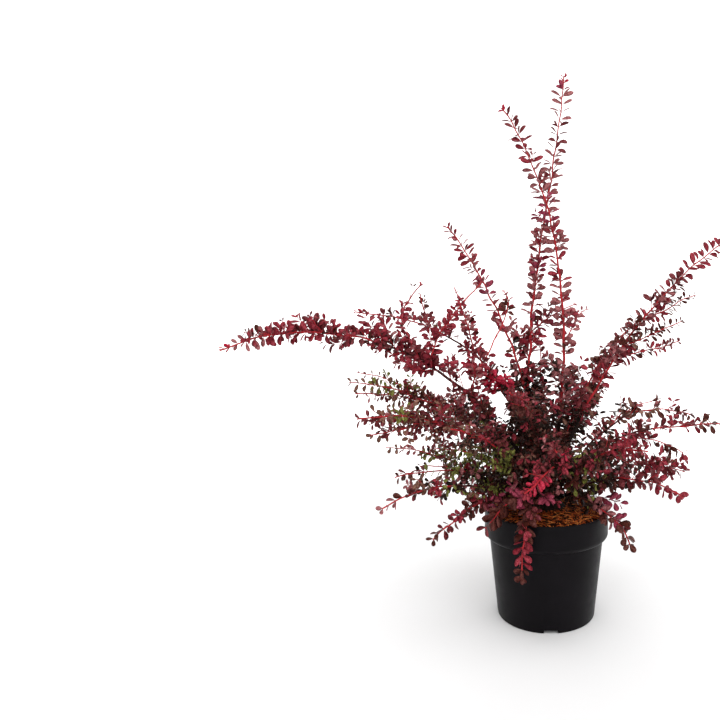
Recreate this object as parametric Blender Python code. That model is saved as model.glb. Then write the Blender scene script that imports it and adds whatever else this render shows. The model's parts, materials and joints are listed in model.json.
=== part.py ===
"""Potted Japanese barberry.

A black nursery pot stands on its flat underside and holds its growing medium.
A short basal stem stands on the medium and forks into canes. Each long cane is
a bare bough first, and each cane ends in one mass of foliage: a stem that
carries side branches, seeded twigs and leaves, all fused into one solid.
Metres, +Z up, origin at the centre of the pot's underside, and the side that
the plant shows best faces -Y.
"""
import random
from collections import namedtuple
from math import cos, pi, radians, sin

import bmesh
import bpy
import numpy as np
from mathutils.kdtree import KDTree

# Pot: a five litre nursery container
RIM_RADIUS = 0.1125
POT_HEIGHT = 0.190
COLLAR_BOTTOM = 0.1415
COLLAR_CORNER = 0.010
BODY_TOP_RADIUS = 0.1035
BODY_BASE_RADIUS = 0.0885
HEEL_RADIUS = 0.0025
WALL = 0.0018
FLOOR = 0.0022
CHANNEL_COUNT = 4
CHANNEL_TURN = 1.5
CHANNEL_INNER_RADIUS = 0.060
CHANNEL_WIDTH = 0.028
CHANNEL_HEIGHT = 0.0060
CHANNEL_ROOF = 0.0020
DRAIN_HOLE_RADIUS = 0.004
POT_SIDES = 48
MEDIUM_SIDES = 24

# Growing medium: fills the pot and shows a low mound of wood fibre
MEDIUM_EDGE_HEIGHT = 0.184
MEDIUM_CROWN_HEIGHT = 0.192
MEDIUM_FLAT_RADIUS = 0.044

# Seats: neighbours keep this clearance
SEAT = 0.0003

# Basal stem: root flare, crown and the three rings that the canes leave it from
FLARE_RADIUS = 0.038
CROWN_RADIUS = 0.025
CROWN_HEIGHT = 0.048
STEM_SIDES = 12
Ring = namedtuple("Ring", "radius height")
RINGS = {"low": Ring(0.021, 0.206), "middle": Ring(0.017, 0.222), "top": Ring(0.011, 0.233)}
STUB_LENGTH = 0.020
STUB_SWELL = 1.4

# Canes, their side branches and their twigs
CANE_TIP_RADIUS = 0.0009
CANE_BASE_RADIUS = 0.0018
CANE_RADIUS_PER_METRE = 0.0025
LIMB_SIDES = 5
BRANCH_RADIUS = 0.0011
TWIG_RADIUS = 0.0009
TWIG_SPACING = 0.050
TWIG_STEPS = 2
TWIG_SHORTEST = 0.025
TWIG_SPREAD = 52.0
TWIG_LIFT = 0.30
GOLDEN_TURN = 137.5

# Leaves: longer than life, because each stands for a tuft, and smaller towards the tips
LEAF_LENGTH = 0.044
LEAF_TAPER = 0.50
LEAF_WIDTH = 0.55
LEAF_THICKNESS = 0.045
LEAF_SPACING = 0.033
LEAF_TRIES = 8
LEAF_APART = 0.55
LEAF_SPREAD = 52.0
LEAF_BROADEST = 0.62
SPACE_MARGIN = 0.0012
KEEP_CLEAR = 0.0025

# Each cane: the ring and the turn (degrees) where it leaves the basal stem, the
# heading (degrees from +X) and reach of its tip from the pot's axis, the tip's
# height over the pot's underside, how steeply it sets out and ends (degrees),
# how far it sets out and ends to the left of its heading (degrees), how boldly
# it bows, the share of it that is bare bough, the reach of its twigs and its tint
Cane = namedtuple(
    "Cane", "name ring turn heading reach height launch finish veer swing bow bare twig tint",
    defaults=(0, 0, 1.0, 0.0, 0.06, "purple"))
CANES = [
    Cane("tall", "top", 140, 40, 0.047, 0.985, 76, 84, 140, -20, bare=0.22, twig=0.03),
    Cane("second", "top", 28, -154, 0.090, 0.898, 81, 55, 154, -26, bare=0.22, twig=0.03),
    Cane("left_upright", "top", 188, 174, 0.182, 0.707, 88, 54, bare=0.25, twig=0.03),
    Cane("right_spear", "top", 345, -5, 0.337, 0.685, 70, 32, bare=0.25, twig=0.05, tint="wine"),
    Cane("right_inner", "top", 82, 21, 0.221, 0.547, 66, 25, bare=0.25, twig=0.05),
    Cane("left_arch", "middle", 236, -154, 0.531, 0.482, 58, -22, 20, 0, 1.2, bare=0.30, twig=0.08),
    Cane("left_high", "middle", 178, -171, 0.336, 0.545, 80, 5, 0, 0, 1.35, bare=0.35, twig=0.06, tint="wine"),
    Cane("left_mid", "middle", 196, -163, 0.336, 0.407, 60, 0, 0, 0, 1.15, bare=0.25, twig=0.07, tint="bronze"),
    Cane("left_cluster", "middle", 215, -146, 0.354, 0.378, 60, -5, bare=0.25, twig=0.08),
    Cane("left_green", "low", 165, -175, 0.228, 0.270, 40, 0, tint="olive"),
    Cane("left_low", "low", 192, -163, 0.275, 0.264, 45, -10, tint="wine"),
    Cane("left_droop", "low", 210, -151, 0.307, 0.231, 28, -25),
    Cane("left_fall", "low", 228, -148, 0.227, 0.169, 40, -45, twig=0.03),
    Cane("front_fall", "low", 260, -110, 0.144, 0.121, 60, -85, bow=1.8, twig=0.02, tint="crimson"),
    Cane("front_crimson", "middle", 352, -102, 0.225, 0.274, 65, -25, 90, -30, 1.3, twig=0.05, tint="crimson"),
    Cane("front_wine", "middle", 262, -109, 0.211, 0.419, 75, 10, bare=0.30, twig=0.07, tint="wine"),
    Cane("front_left", "low", 242, -131, 0.240, 0.360, 60, 10, bare=0.20, twig=0.07, tint="wine"),
    Cane("front_mid", "low", 282, -90, 0.200, 0.330, 60, 0, twig=0.07),
    Cane("front_right", "low", 303, -55, 0.240, 0.330, 60, 0, bare=0.20, twig=0.07, tint="wine"),
    Cane("left_crimson", "top", 235, -150, 0.162, 0.454, 80, 20, bare=0.30, twig=0.05, tint="crimson"),
    Cane("right_mid", "middle", 18, -4, 0.260, 0.361, 55, -20, 0, 0, 1.3, bare=0.25, twig=0.07),
    Cane("right_long", "middle", 325, -28, 0.317, 0.365, 58, 5, 0, 0, 1.2, bare=0.25, twig=0.07, tint="bronze"),
    Cane("right_low", "low", 12, 10, 0.276, 0.243, 58, -20, bare=0.20, twig=0.07, tint="wine"),
    Cane("right_lower", "low", 345, -30, 0.243, 0.242, 38, -35, twig=0.05),
    Cane("right_fall", "low", 323, -37, 0.167, 0.154, 45, -70, twig=0.02),
    Cane("back_upright", "top", 108, 95, 0.100, 0.520, 80, 60, bare=0.25, twig=0.05),
    Cane("back_left", "middle", 145, 140, 0.330, 0.370, 55, 0, bare=0.25, twig=0.08),
    Cane("back_right", "middle", 50, 55, 0.240, 0.400, 60, 15, bare=0.25, twig=0.07),
    Cane("back_mid", "middle", 110, 95, 0.330, 0.360, 58, -5, bare=0.25, twig=0.08, tint="bronze"),
    Cane("back_high", "middle", 80, 70, 0.260, 0.440, 65, 15, bare=0.25, twig=0.07),
    Cane("back_low_left", "low", 140, 150, 0.270, 0.270, 45, -15, twig=0.07, tint="olive"),
    Cane("back_low", "low", 115, 112, 0.270, 0.240, 45, -20, twig=0.07),
    Cane("back_low_right", "low", 50, 40, 0.280, 0.260, 45, -15, twig=0.07),
    Cane("back_fall", "low", 85, 80, 0.170, 0.160, 45, -65, twig=0.03),
]

# Each side branch: the cane it grows on and how far along, then as for a cane
Branch = namedtuple("Branch", "parent at heading reach height launch finish veer swing bow", defaults=(0, 0, 1.0))
BRANCHES = [
    Branch("left_arch", 0.36, -134, 0.112, 0.579, 60, 40, 30, 0),
    Branch("left_arch", 0.50, -133, 0.163, 0.591, 50, 40, 40, 90),
    Branch("left_high", 0.55, -148, 0.188, 0.580, 70, 60),
    Branch("left_high", 0.85, -148, 0.246, 0.586, 50, 30, 90, 90),
    Branch("left_high", 0.75, -155, 0.236, 0.572, 80, 80),
    Branch("left_mid", 0.60, -160, 0.347, 0.427, 20, 0),
    Branch("left_mid", 0.50, -171, 0.336, 0.441, 30, 10),
    Branch("left_cluster", 0.60, -148, 0.330, 0.350, 10, -10),
    Branch("left_green", 0.60, -170, 0.288, 0.308, 30, 0),
    Branch("front_fall", 0.25, -134, 0.153, 0.187, 20, -40),
    Branch("right_spear", 0.60, 0, 0.273, 0.581, 20, 20),
    Branch("right_spear", 0.50, -12, 0.239, 0.531, 20, 25),
    Branch("right_spear", 0.45, 9, 0.260, 0.494, 20, 20),
    Branch("right_mid", 0.45, 23, 0.256, 0.378, 40, 5),
    Branch("right_long", 0.40, -13, 0.240, 0.300, 20, -40),
    Branch("tall", 0.37, 30, 0.067, 0.568, 40, 30),
    Branch("second", 0.38, 14, 0.082, 0.557, 50, 20),
]

# Colours as linear red, green and blue
TINTS = {
    "purple": (0.045, 0.010, 0.014),
    "wine": (0.110, 0.018, 0.028),
    "crimson": (0.300, 0.014, 0.030),
    "bronze": (0.085, 0.050, 0.026),
    "olive": (0.050, 0.052, 0.014),
}
BARK_COLOUR = (0.060, 0.024, 0.016)
POT_COLOUR = (0.008, 0.008, 0.009)
MEDIUM_COLOUR = (0.230, 0.085, 0.025)


def material(name, colour, roughness):
    """Return the Principled material of this name, made the first time it is asked for."""
    if name in bpy.data.materials:
        return bpy.data.materials[name]
    made = bpy.data.materials.new(name)
    made.use_nodes = True
    shader = made.node_tree.nodes["Principled BSDF"]
    shader.inputs["Base Color"].default_value = (*colour, 1.0)
    shader.inputs["Roughness"].default_value = roughness
    shader.inputs["Metallic"].default_value = 0.0
    made.diffuse_color = (*colour, 1.0)
    return made


def make_object(name, vertices, faces, collection=None):
    """Make a mesh object from lists of points and faces."""
    mesh = bpy.data.meshes.new(name)
    mesh.from_pydata([tuple(point) for point in vertices], [], faces)
    mesh.update()
    made = bpy.data.objects.new(name, mesh)
    (collection or bpy.context.scene.collection).objects.link(made)
    return made


def turned(name, profile, sides, collection=None):
    """Turn a closed profile of (radius, height) points, outer side first, about the Z axis."""
    vertices = []
    rings = []
    for radius, height in profile:
        if radius == 0.0:
            rings.append([len(vertices)])
            vertices.append((0.0, 0.0, height))
            continue
        rings.append(list(range(len(vertices), len(vertices) + sides)))
        for side in range(sides):
            angle = 2 * pi * side / sides
            vertices.append((radius * cos(angle), radius * sin(angle), height))
    faces = []
    for lower, upper in zip(rings, rings[1:]):
        for side in range(sides):
            after = (side + 1) % sides
            if len(lower) == 1:
                faces.append((lower[0], upper[after], upper[side]))
            elif len(upper) == 1:
                faces.append((lower[side], lower[after], upper[0]))
            else:
                faces.append((lower[side], lower[after], upper[after], upper[side]))
    return make_object(name, vertices, faces, collection)


def unit(vector):
    """Return the vector at a length of one."""
    return vector / np.linalg.norm(vector)


def ray(heading, rise):
    """Return the direction of a heading and a rise over the horizontal, in degrees."""
    flat = cos(radians(rise))
    return np.array((cos(radians(heading)) * flat, sin(radians(heading)) * flat, sin(radians(rise))))


def around(axis, turn):
    """Return a direction square to an axis, turned about it by some degrees from the upper side."""
    level = np.cross((0.0, 0.0, 1.0), axis)
    if np.linalg.norm(level) < 0.05:
        level = np.array((1.0, 0.0, 0.0))
    level = unit(level)
    upper = unit(np.cross(axis, level))
    return upper * cos(radians(turn)) + level * sin(radians(turn))


class Line:
    """A smooth line that sets out and ends in given directions, read by its share of length."""

    def __init__(self, start, out, end, into, bow, samples=40):
        reach = np.linalg.norm(end - start) * bow
        t = np.linspace(0.0, 1.0, samples)[:, None]
        self.points = ((2 * t**3 - 3 * t**2 + 1) * start + (t**3 - 2 * t**2 + t) * out * reach
                       + (3 * t**2 - 2 * t**3) * end + (t**3 - t**2) * into * reach)
        steps = np.linalg.norm(np.diff(self.points, axis=0), axis=1)
        self.lengths = np.concatenate(([0.0], np.cumsum(steps)))
        self.length = self.lengths[-1]

    def at(self, share):
        """Return the point at a share of the line's length."""
        place = share * self.length
        return np.array([np.interp(place, self.lengths, self.points[:, k]) for k in range(3)])

    def along(self, share):
        """Return the line's direction at a share of its length."""
        return unit(self.at(min(share + 0.02, 1.0)) - self.at(max(share - 0.02, 0.0)))


def tip_of(growth):
    """Return the tip of a cane or branch from its heading, reach and height."""
    return np.array((growth.reach * cos(radians(growth.heading)),
                     growth.reach * sin(radians(growth.heading)), growth.height))


def line_of(growth, start):
    """Return the line of a cane or branch that starts at a point."""
    return Line(start, ray(growth.heading + growth.veer, growth.launch), tip_of(growth),
                ray(growth.heading + growth.swing, growth.finish), growth.bow)


def cane_line(cane):
    """Return the line of a cane from inside the basal stem to its tip."""
    ring = RINGS[cane.ring]
    foot = np.array((ring.radius * cos(radians(cane.turn)), ring.radius * sin(radians(cane.turn)), ring.height))
    return line_of(cane, foot)


def cane_radius(line, share):
    """Return the radius of a cane at a share of its length: a straight taper."""
    base = CANE_BASE_RADIUS + CANE_RADIUS_PER_METRE * line.length
    return base + (CANE_TIP_RADIUS - base) * share


def tube(name, centres, radii, sides, collection=None, pointed=False, cuts=(None, None)):
    """Make a closed tapering tube, flat or pointed at its far end, with its end cuts square to given axes."""
    vertices = []
    faces = []
    rings = len(centres) - 1 if pointed else len(centres)
    axes = []
    for number in range(rings):
        before = centres[max(number - 1, 0)]
        after = centres[min(number + 1, len(centres) - 1)]
        axes.append(unit(after - before))
    axes[0] = axes[0] if cuts[0] is None else cuts[0]
    axes[-1] = axes[-1] if cuts[1] is None else cuts[1]
    upper = around(axes[0], 0.0)
    for number, axis in enumerate(axes):
        upper = unit(upper - axis * np.dot(upper, axis))
        across = np.cross(axis, upper)
        for side in range(sides):
            angle = 2 * pi * side / sides
            vertices.append(centres[number] + radii[number] * (upper * cos(angle) + across * sin(angle)))
    for number in range(rings - 1):
        for side in range(sides):
            after = (side + 1) % sides
            low = number * sides
            faces.append((low + side, low + after, low + sides + after, low + sides + side))
    faces.append(tuple(reversed(range(sides))))
    last = (rings - 1) * sides
    if pointed:
        vertices.append(centres[-1])
        for side in range(sides):
            faces.append((last + side, last + (side + 1) % sides, rings * sides))
    else:
        faces.append(tuple(range(last, last + sides)))
    return make_object(name, vertices, faces, collection)


def leaf_points(root, direction, face, length):
    """Return the six points of a leaf: root, edge, tip, edge, upper and under side."""
    across = unit(np.cross(direction, face))
    upward = np.cross(across, direction)
    middle = root + direction * length * LEAF_BROADEST
    half_width = across * length * LEAF_WIDTH / 2
    half_depth = upward * length * LEAF_THICKNESS / 2
    tip = root + direction * length
    return [root, middle + half_width, tip, middle - half_width, middle + half_depth, middle - half_depth]


def leaf(points, collection):
    """Make a leaf of eight faces from its six points."""
    upper = [(0, 1, 4), (1, 2, 4), (2, 3, 4), (3, 0, 4)]
    under = [(1, 0, 5), (2, 1, 5), (3, 2, 5), (0, 3, 5)]
    return make_object("leaf", points, upper + under, collection)


def fuse(base, collection):
    """Join a collection's objects onto a base object and remove them, keeping the one main body.

    The exact solver drops most of the pieces of a mass, so the manifold one joins them.
    """
    join = base.modifiers.new("join", "BOOLEAN")
    join.operation = "UNION"
    join.operand_type = "COLLECTION"
    join.collection = collection
    join.solver = "MANIFOLD"
    bpy.context.view_layer.objects.active = base
    bpy.ops.object.modifier_apply(modifier=join.name)
    for piece in list(collection.objects):
        bpy.data.objects.remove(piece)
    bpy.data.collections.remove(collection)
    keep_main_body(base.data)


def keep_main_body(mesh):
    """Drop loose scraps and the walls of sealed hollows, which are all smaller than the main body."""
    body = bmesh.new()
    body.from_mesh(mesh)
    waiting = set(body.faces)
    shells = []
    while waiting:
        shell = [waiting.pop()]
        for face in shell:
            for edge in face.edges:
                for other in edge.link_faces:
                    if other in waiting:
                        waiting.discard(other)
                        shell.append(other)
        shells.append(shell)
    shells.sort(key=len)
    scrap = [face for shell in shells[:-1] for face in shell]
    bmesh.ops.delete(body, geom=scrap, context="FACES")
    body.to_mesh(mesh)
    body.free()


def working_collection(name):
    """Return a new collection in the scene that holds pieces until they are fused."""
    made = bpy.data.collections.new(name)
    bpy.context.scene.collection.children.link(made)
    return made


def finish(made, name, finish_material, smooth_angle=None):
    """Give an object its material and its shading."""
    made.name = name
    made.data.name = name
    made.data.materials.clear()
    made.data.materials.append(finish_material)
    if smooth_angle:
        made.data.shade_smooth()
        made.data.set_sharp_from_angle(angle=radians(smooth_angle))


def arc(centre_radius, centre_height, radius, start, end, steps):
    """Return profile points on an arc, with angles in degrees from the outward direction."""
    angles = [radians(start + (end - start) * step / steps) for step in range(steps + 1)]
    return [(centre_radius + radius * cos(a), centre_height + radius * sin(a)) for a in angles]


def make_pot():
    """The pot: a turned wall with a collar, drain channels under its heel and a hole in each."""
    corner = arc(RIM_RADIUS - COLLAR_CORNER, COLLAR_BOTTOM + COLLAR_CORNER, COLLAR_CORNER, -60, 0, 2)
    heel = arc(BODY_BASE_RADIUS - HEEL_RADIUS, HEEL_RADIUS, HEEL_RADIUS, -90, 0, 2)
    channel_top = CHANNEL_HEIGHT + CHANNEL_ROOF
    step_radius = CHANNEL_INNER_RADIUS - WALL
    outside = [(0.0, 0.0), *heel, (BODY_TOP_RADIUS, COLLAR_BOTTOM), *corner, (RIM_RADIUS, POT_HEIGHT)]
    inside = [
        (RIM_RADIUS - WALL, POT_HEIGHT),
        (RIM_RADIUS - WALL, COLLAR_BOTTOM + COLLAR_CORNER),
        (BODY_TOP_RADIUS - WALL, COLLAR_BOTTOM + WALL),
        (BODY_BASE_RADIUS - WALL, channel_top),
        (step_radius, channel_top),
        (step_radius, FLOOR),
        (0.0, FLOOR),
    ]
    pot = turned("pot", outside + inside, POT_SIDES)
    cutters = working_collection("pot_cutters")
    for number in range(CHANNEL_COUNT):
        turn = radians(CHANNEL_TURN - 90 + 360 * number / CHANNEL_COUNT)
        make_channel(turn, cutters)
        make_drain_hole(turn, cutters)
    cut = pot.modifiers.new("drainage", "BOOLEAN")
    cut.operation = "DIFFERENCE"
    cut.operand_type = "COLLECTION"
    cut.collection = cutters
    cut.solver = "EXACT"
    bpy.context.view_layer.objects.active = pot
    bpy.ops.object.modifier_apply(modifier=cut.name)
    for cutter in list(cutters.objects):
        bpy.data.objects.remove(cutter)
    bpy.data.collections.remove(cutters)
    finish(pot, "pot", material("pot_plastic", POT_COLOUR, 0.45), smooth_angle=35)


def make_channel(turn, collection):
    """A drain channel's cutter: a bar that tapers upwards and runs out through the heel."""
    bottom = CHANNEL_WIDTH / 2
    top = bottom * 0.8
    below = -CHANNEL_HEIGHT
    outward = np.array((cos(turn), sin(turn), 0.0))
    across = np.array((-sin(turn), cos(turn), 0.0))
    vertices = []
    for distance in (CHANNEL_INNER_RADIUS, BODY_BASE_RADIUS * 1.2):
        for half_width, height in ((bottom, below), (top, CHANNEL_HEIGHT)):
            for side in (-1, 1):
                vertices.append(outward * distance + across * side * half_width + np.array((0, 0, height)))
    faces = [(0, 2, 3, 1), (4, 5, 7, 6), (0, 1, 5, 4), (2, 6, 7, 3), (1, 3, 7, 5), (0, 4, 6, 2)]
    make_object("channel", vertices, faces, collection)


def make_drain_hole(turn, collection):
    """A drain hole's cutter: a round peg through the channel's roof."""
    distance = (CHANNEL_INNER_RADIUS + BODY_BASE_RADIUS - HEEL_RADIUS) / 2
    place = np.array((cos(turn) * distance, sin(turn) * distance, 0.0))
    start = place + np.array((0.0, 0.0, CHANNEL_HEIGHT / 2))
    end = place + np.array((0.0, 0.0, CHANNEL_HEIGHT + CHANNEL_ROOF * 2))
    tube("drain_hole", [start, end], [DRAIN_HOLE_RADIUS] * 2, 6, collection)


def make_growing_medium():
    """The growing medium: a plug that fills the pot, with a low mound on top."""
    channel_top = CHANNEL_HEIGHT + CHANNEL_ROOF
    inset = WALL + SEAT + RIM_RADIUS * (1 - cos(pi / POT_SIDES))
    dome_rings = 2
    profile = [
        (0.0, FLOOR + SEAT),
        (CHANNEL_INNER_RADIUS - WALL - SEAT, FLOOR + SEAT),
        (CHANNEL_INNER_RADIUS - WALL - SEAT, channel_top + SEAT),
        (BODY_BASE_RADIUS - inset, channel_top + SEAT),
        (BODY_TOP_RADIUS - inset, COLLAR_BOTTOM + WALL),
        (RIM_RADIUS - inset, COLLAR_BOTTOM + COLLAR_CORNER + SEAT),
    ]
    edge_radius = RIM_RADIUS - inset
    for ring in range(dome_rings + 1):
        share = ring / dome_rings
        radius = edge_radius + (MEDIUM_FLAT_RADIUS - edge_radius) * share
        rise = (MEDIUM_CROWN_HEIGHT - MEDIUM_EDGE_HEIGHT) * sin(share * pi / 2)
        profile.append((radius, MEDIUM_EDGE_HEIGHT + rise))
    profile.append((0.0, MEDIUM_CROWN_HEIGHT))
    medium = turned("growing_medium", profile, MEDIUM_SIDES)
    finish(medium, "growing_medium", material("wood_fibre", MEDIUM_COLOUR, 0.95), smooth_angle=50)


def make_basal_stem(lines):
    """The basal stem: a flared crown with a flat foot, forked into one stub for each cane."""
    foot = MEDIUM_CROWN_HEIGHT + SEAT
    top = MEDIUM_CROWN_HEIGHT + CROWN_HEIGHT
    profile = [
        (0.0, foot),
        (FLARE_RADIUS, foot),
        (CROWN_RADIUS * 1.16, foot + CROWN_HEIGHT * 0.14),
        (CROWN_RADIUS, foot + CROWN_HEIGHT * 0.40),
        (CROWN_RADIUS * 0.86, foot + CROWN_HEIGHT * 0.66),
        (CROWN_RADIUS * 0.60, foot + CROWN_HEIGHT * 0.88),
        (0.0, top),
    ]
    stem = turned("basal_stem", profile, STEM_SIDES)
    stubs = working_collection("stubs")
    for line in lines.values():
        stub_end = STUB_LENGTH / line.length
        shares = (0.0, stub_end)
        radii = [cane_radius(line, 0.0) * STUB_SWELL, cane_radius(line, stub_end)]
        centres = [line.at(share) for share in shares]
        tube("stub", centres, radii, LIMB_SIDES, stubs, cuts=(None, line.along(stub_end)))
    fuse(stem, stubs)
    finish(stem, "basal_stem", material("bark", BARK_COLOUR, 0.85), smooth_angle=40)


def limb_start(line):
    """Return the share of a cane's length at which its limb starts, clear of its stub."""
    return (STUB_LENGTH + SEAT) / line.length


def make_bough(cane, line):
    """A cane's bare bough, from its stub to the point where it enters its mass of foliage."""
    steps = 4
    first = limb_start(line)
    shares = [first + (cane.bare - first) * step / steps for step in range(steps + 1)]
    radii = [cane_radius(line, share) for share in shares]
    ends = (line.along(first), line.along(cane.bare))
    bough = tube("bough", [line.at(share) for share in shares], radii, LIMB_SIDES, cuts=ends)
    finish(bough, f"bough_{cane.name}", material("bark", BARK_COLOUR, 0.85), smooth_angle=50)


def tree_of(points):
    """Return a search tree of points."""
    tree = KDTree(len(points))
    for number, point in enumerate(points):
        tree.insert(point, number)
    tree.balance()
    return tree


class Space:
    """The space that one mass keeps to: nearer to its own stem and branches than to any other."""

    def __init__(self, own, others):
        self.own = tree_of(own)
        self.others = tree_of(others)

    def holds(self, points):
        """Tell whether all points lie in the space, clear of the pot, its medium and the basal stem."""
        for point in points:
            if self.others.find(point)[2] < self.own.find(point)[2] + SPACE_MARGIN:
                return False
            radius = np.hypot(point[0], point[1])
            if radius < RIM_RADIUS + KEEP_CLEAR and point[2] < MEDIUM_CROWN_HEIGHT + KEEP_CLEAR:
                return False
            if radius < FLARE_RADIUS and point[2] < MEDIUM_CROWN_HEIGHT + CROWN_HEIGHT + KEEP_CLEAR:
                return False
        return True


def grow_twig(draw, line, share, turn, reach, space):
    """Return the points of a twig that leaves a line, as far as it stays in its space."""
    axis = line.along(share)
    side = around(axis, turn)
    heading = axis * cos(radians(TWIG_SPREAD)) + side * sin(radians(TWIG_SPREAD))
    centres = [line.at(share)]
    step = reach * draw.uniform(0.75, 1.1) / TWIG_STEPS
    for _ in range(TWIG_STEPS):
        heading = unit(heading + np.array((0.0, 0.0, TWIG_LIFT)))
        after = centres[-1] + heading * step
        if not space.holds([after, after + side * TWIG_RADIUS * 2, after - side * TWIG_RADIUS * 2]):
            break
        centres.append(after)
    return centres


def grow_twigs(cane, lines, first, space):
    """Return the twigs of a mass: a seeded row of them along its stem and its branches."""
    draw = random.Random(f"{cane.name} twigs")
    twigs = []
    for number, line in enumerate(lines):
        start = first if number == 0 else 0.15
        count = int(line.length * (1 - start) / TWIG_SPACING)
        for place in range(count):
            share = start + (1 - start) * (place + 0.6) / (count + 0.5)
            turn = place * GOLDEN_TURN + draw.uniform(-25, 25)
            reach = cane.twig * (1 - share) ** 0.5 * (1.0 if number == 0 else 0.7)
            if reach < TWIG_SHORTEST:
                continue
            centres = grow_twig(draw, line, share, turn, reach, space)
            if len(centres) > 2:
                twigs.append(centres)
    return twigs


def leaves_along(draw, centres, base_share, space, placed, collection):
    """Place leaves round a row of points, smaller towards its far end and apart from those placed before."""
    steps = np.linalg.norm(np.diff(centres, axis=0), axis=1)
    lengths = np.concatenate(([0.0], np.cumsum(steps)))
    count = max(1, int(lengths[-1] / LEAF_SPACING))
    turn = draw.uniform(0, 360)
    for number in range(count + 1):
        place = lengths[-1] * (number + 0.5) / (count + 0.6)
        turn += GOLDEN_TURN
        root = np.array([np.interp(place, lengths, np.array(centres)[:, k]) for k in range(3)])
        segment = min(int(np.searchsorted(lengths, place, side="right")), len(centres) - 1)
        axis = unit(np.array(centres[segment]) - np.array(centres[segment - 1]))
        last = number == count
        spread = 12.0 if last else LEAF_SPREAD + draw.uniform(-12, 12)
        size = LEAF_LENGTH * draw.uniform(0.85, 1.1) * (1 - LEAF_TAPER * (base_share + place / lengths[-1]))
        for attempt in range(LEAF_TRIES):
            side = around(axis, turn + 80 * attempt)
            direction = axis * cos(radians(spread)) + side * sin(radians(spread))
            face = unit(np.array((0.0, 0.0, 1.0)) + side * draw.uniform(-0.5, 0.5) + axis * 0.3)
            length = size * (1 - 0.05 * attempt)
            points = leaf_points(root, direction, face, length)
            middle = root + direction * length / 2
            if any(np.linalg.norm(middle - other) < length * LEAF_APART for other in placed):
                continue
            outline = points[1:] + [(points[2] + points[1]) / 2, (points[2] + points[3]) / 2]
            if space.holds(outline):
                leaf(points, collection)
                placed.append(middle)
                break


def make_foliage(cane, line, branches, space):
    """A mass of foliage: a cane's leafy end with its branches, twigs and leaves fused on."""
    first = cane.bare + SEAT / line.length if cane.bare else limb_start(line)
    steps = max(4, int(line.length * (1 - first) / 0.055))
    shares = [first + (1 - first) * step / steps for step in range(steps + 1)]
    stem = [line.at(share) for share in shares]
    mass = tube("stem", stem, [cane_radius(line, share) for share in shares], 3, cuts=(line.along(first), None))
    pieces = working_collection(f"pieces_{cane.name}")
    rows = [(stem[1:], 0.0)]
    for branch in branches:
        centres = [branch.at(step / 4) for step in range(5)]
        radii = [BRANCH_RADIUS * (1 - 0.12 * step) for step in range(5)]
        tube("branch", centres, radii, 3, pieces)
        rows.append((centres[1:], 0.1))
    for centres in grow_twigs(cane, [line, *branches], first + 0.06, space):
        radii = [TWIG_RADIUS * (1 - 0.15 * step) for step in range(len(centres))]
        tube("twig", centres, radii, 3, pieces, pointed=True)
        rows.append((centres, 0.1))
    draw = random.Random(f"{cane.name} leaves")
    placed = []
    for centres, base_share in rows:
        leaves_along(draw, centres, base_share, space, placed, pieces)
    fuse(mass, pieces)
    finish(mass, f"foliage_{cane.name}", material(f"leaf_{cane.tint}", TINTS[cane.tint], 0.5))


def main():
    """Build the whole plant in its pot."""
    for old in list(bpy.data.objects):
        bpy.data.objects.remove(old)
    lines = {cane.name: cane_line(cane) for cane in CANES}
    branches = {cane.name: [] for cane in CANES}
    for branch in BRANCHES:
        branches[branch.parent].append(line_of(branch, lines[branch.parent].at(branch.at)))
    make_pot()
    make_growing_medium()
    make_basal_stem(lines)
    for cane in CANES:
        line = lines[cane.name]
        first = cane.bare or limb_start(line)
        if cane.bare:
            make_bough(cane, line)
        own = [line.at(share) for share in np.linspace(first, 1.0, 60)]
        own += [point for branch in branches[cane.name] for point in branch.points]
        others = [line.at(share) for share in np.linspace(0.0, first, 20)]
        for name, other in lines.items():
            if name != cane.name:
                others += list(other.points)
                others += [point for branch in branches[name] for point in branch.points]
        make_foliage(cane, line, branches[cane.name], Space(own, others))


main()
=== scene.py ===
"""Potted Japanese barberry, dressed.

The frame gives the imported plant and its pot. This add-on lays the pot's moulded
shell, the wood fibre mulch, the ridged wood, the red shoots and the leaves over
it, and sets the plant on a pale floor in soft light. Metres, +Z up; the side
that the plant shows best faces -Y.
"""

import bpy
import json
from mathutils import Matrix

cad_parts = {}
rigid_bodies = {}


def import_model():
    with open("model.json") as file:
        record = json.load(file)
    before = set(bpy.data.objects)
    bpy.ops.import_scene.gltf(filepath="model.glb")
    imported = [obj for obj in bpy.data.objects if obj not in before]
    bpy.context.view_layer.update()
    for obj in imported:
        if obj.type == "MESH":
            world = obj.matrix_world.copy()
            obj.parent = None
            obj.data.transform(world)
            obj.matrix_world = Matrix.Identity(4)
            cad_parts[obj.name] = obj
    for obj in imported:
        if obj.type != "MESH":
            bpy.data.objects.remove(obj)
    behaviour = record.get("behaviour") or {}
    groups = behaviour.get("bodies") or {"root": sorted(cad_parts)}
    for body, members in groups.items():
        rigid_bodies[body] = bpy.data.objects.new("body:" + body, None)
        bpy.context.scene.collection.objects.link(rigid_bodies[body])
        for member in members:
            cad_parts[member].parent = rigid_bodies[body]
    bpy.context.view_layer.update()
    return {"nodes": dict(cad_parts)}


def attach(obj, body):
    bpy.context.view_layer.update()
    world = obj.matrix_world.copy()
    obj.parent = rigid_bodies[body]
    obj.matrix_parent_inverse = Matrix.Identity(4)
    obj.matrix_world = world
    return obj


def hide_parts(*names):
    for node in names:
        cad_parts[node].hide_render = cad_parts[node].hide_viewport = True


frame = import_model()

import json
import random
from collections import namedtuple
from math import cos, pi, radians, sin

import bpy
import numpy as np
from bpy.props import FloatProperty, FloatVectorProperty, IntProperty, PointerProperty
from mathutils import Vector, noise
from mathutils.kdtree import KDTree

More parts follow.
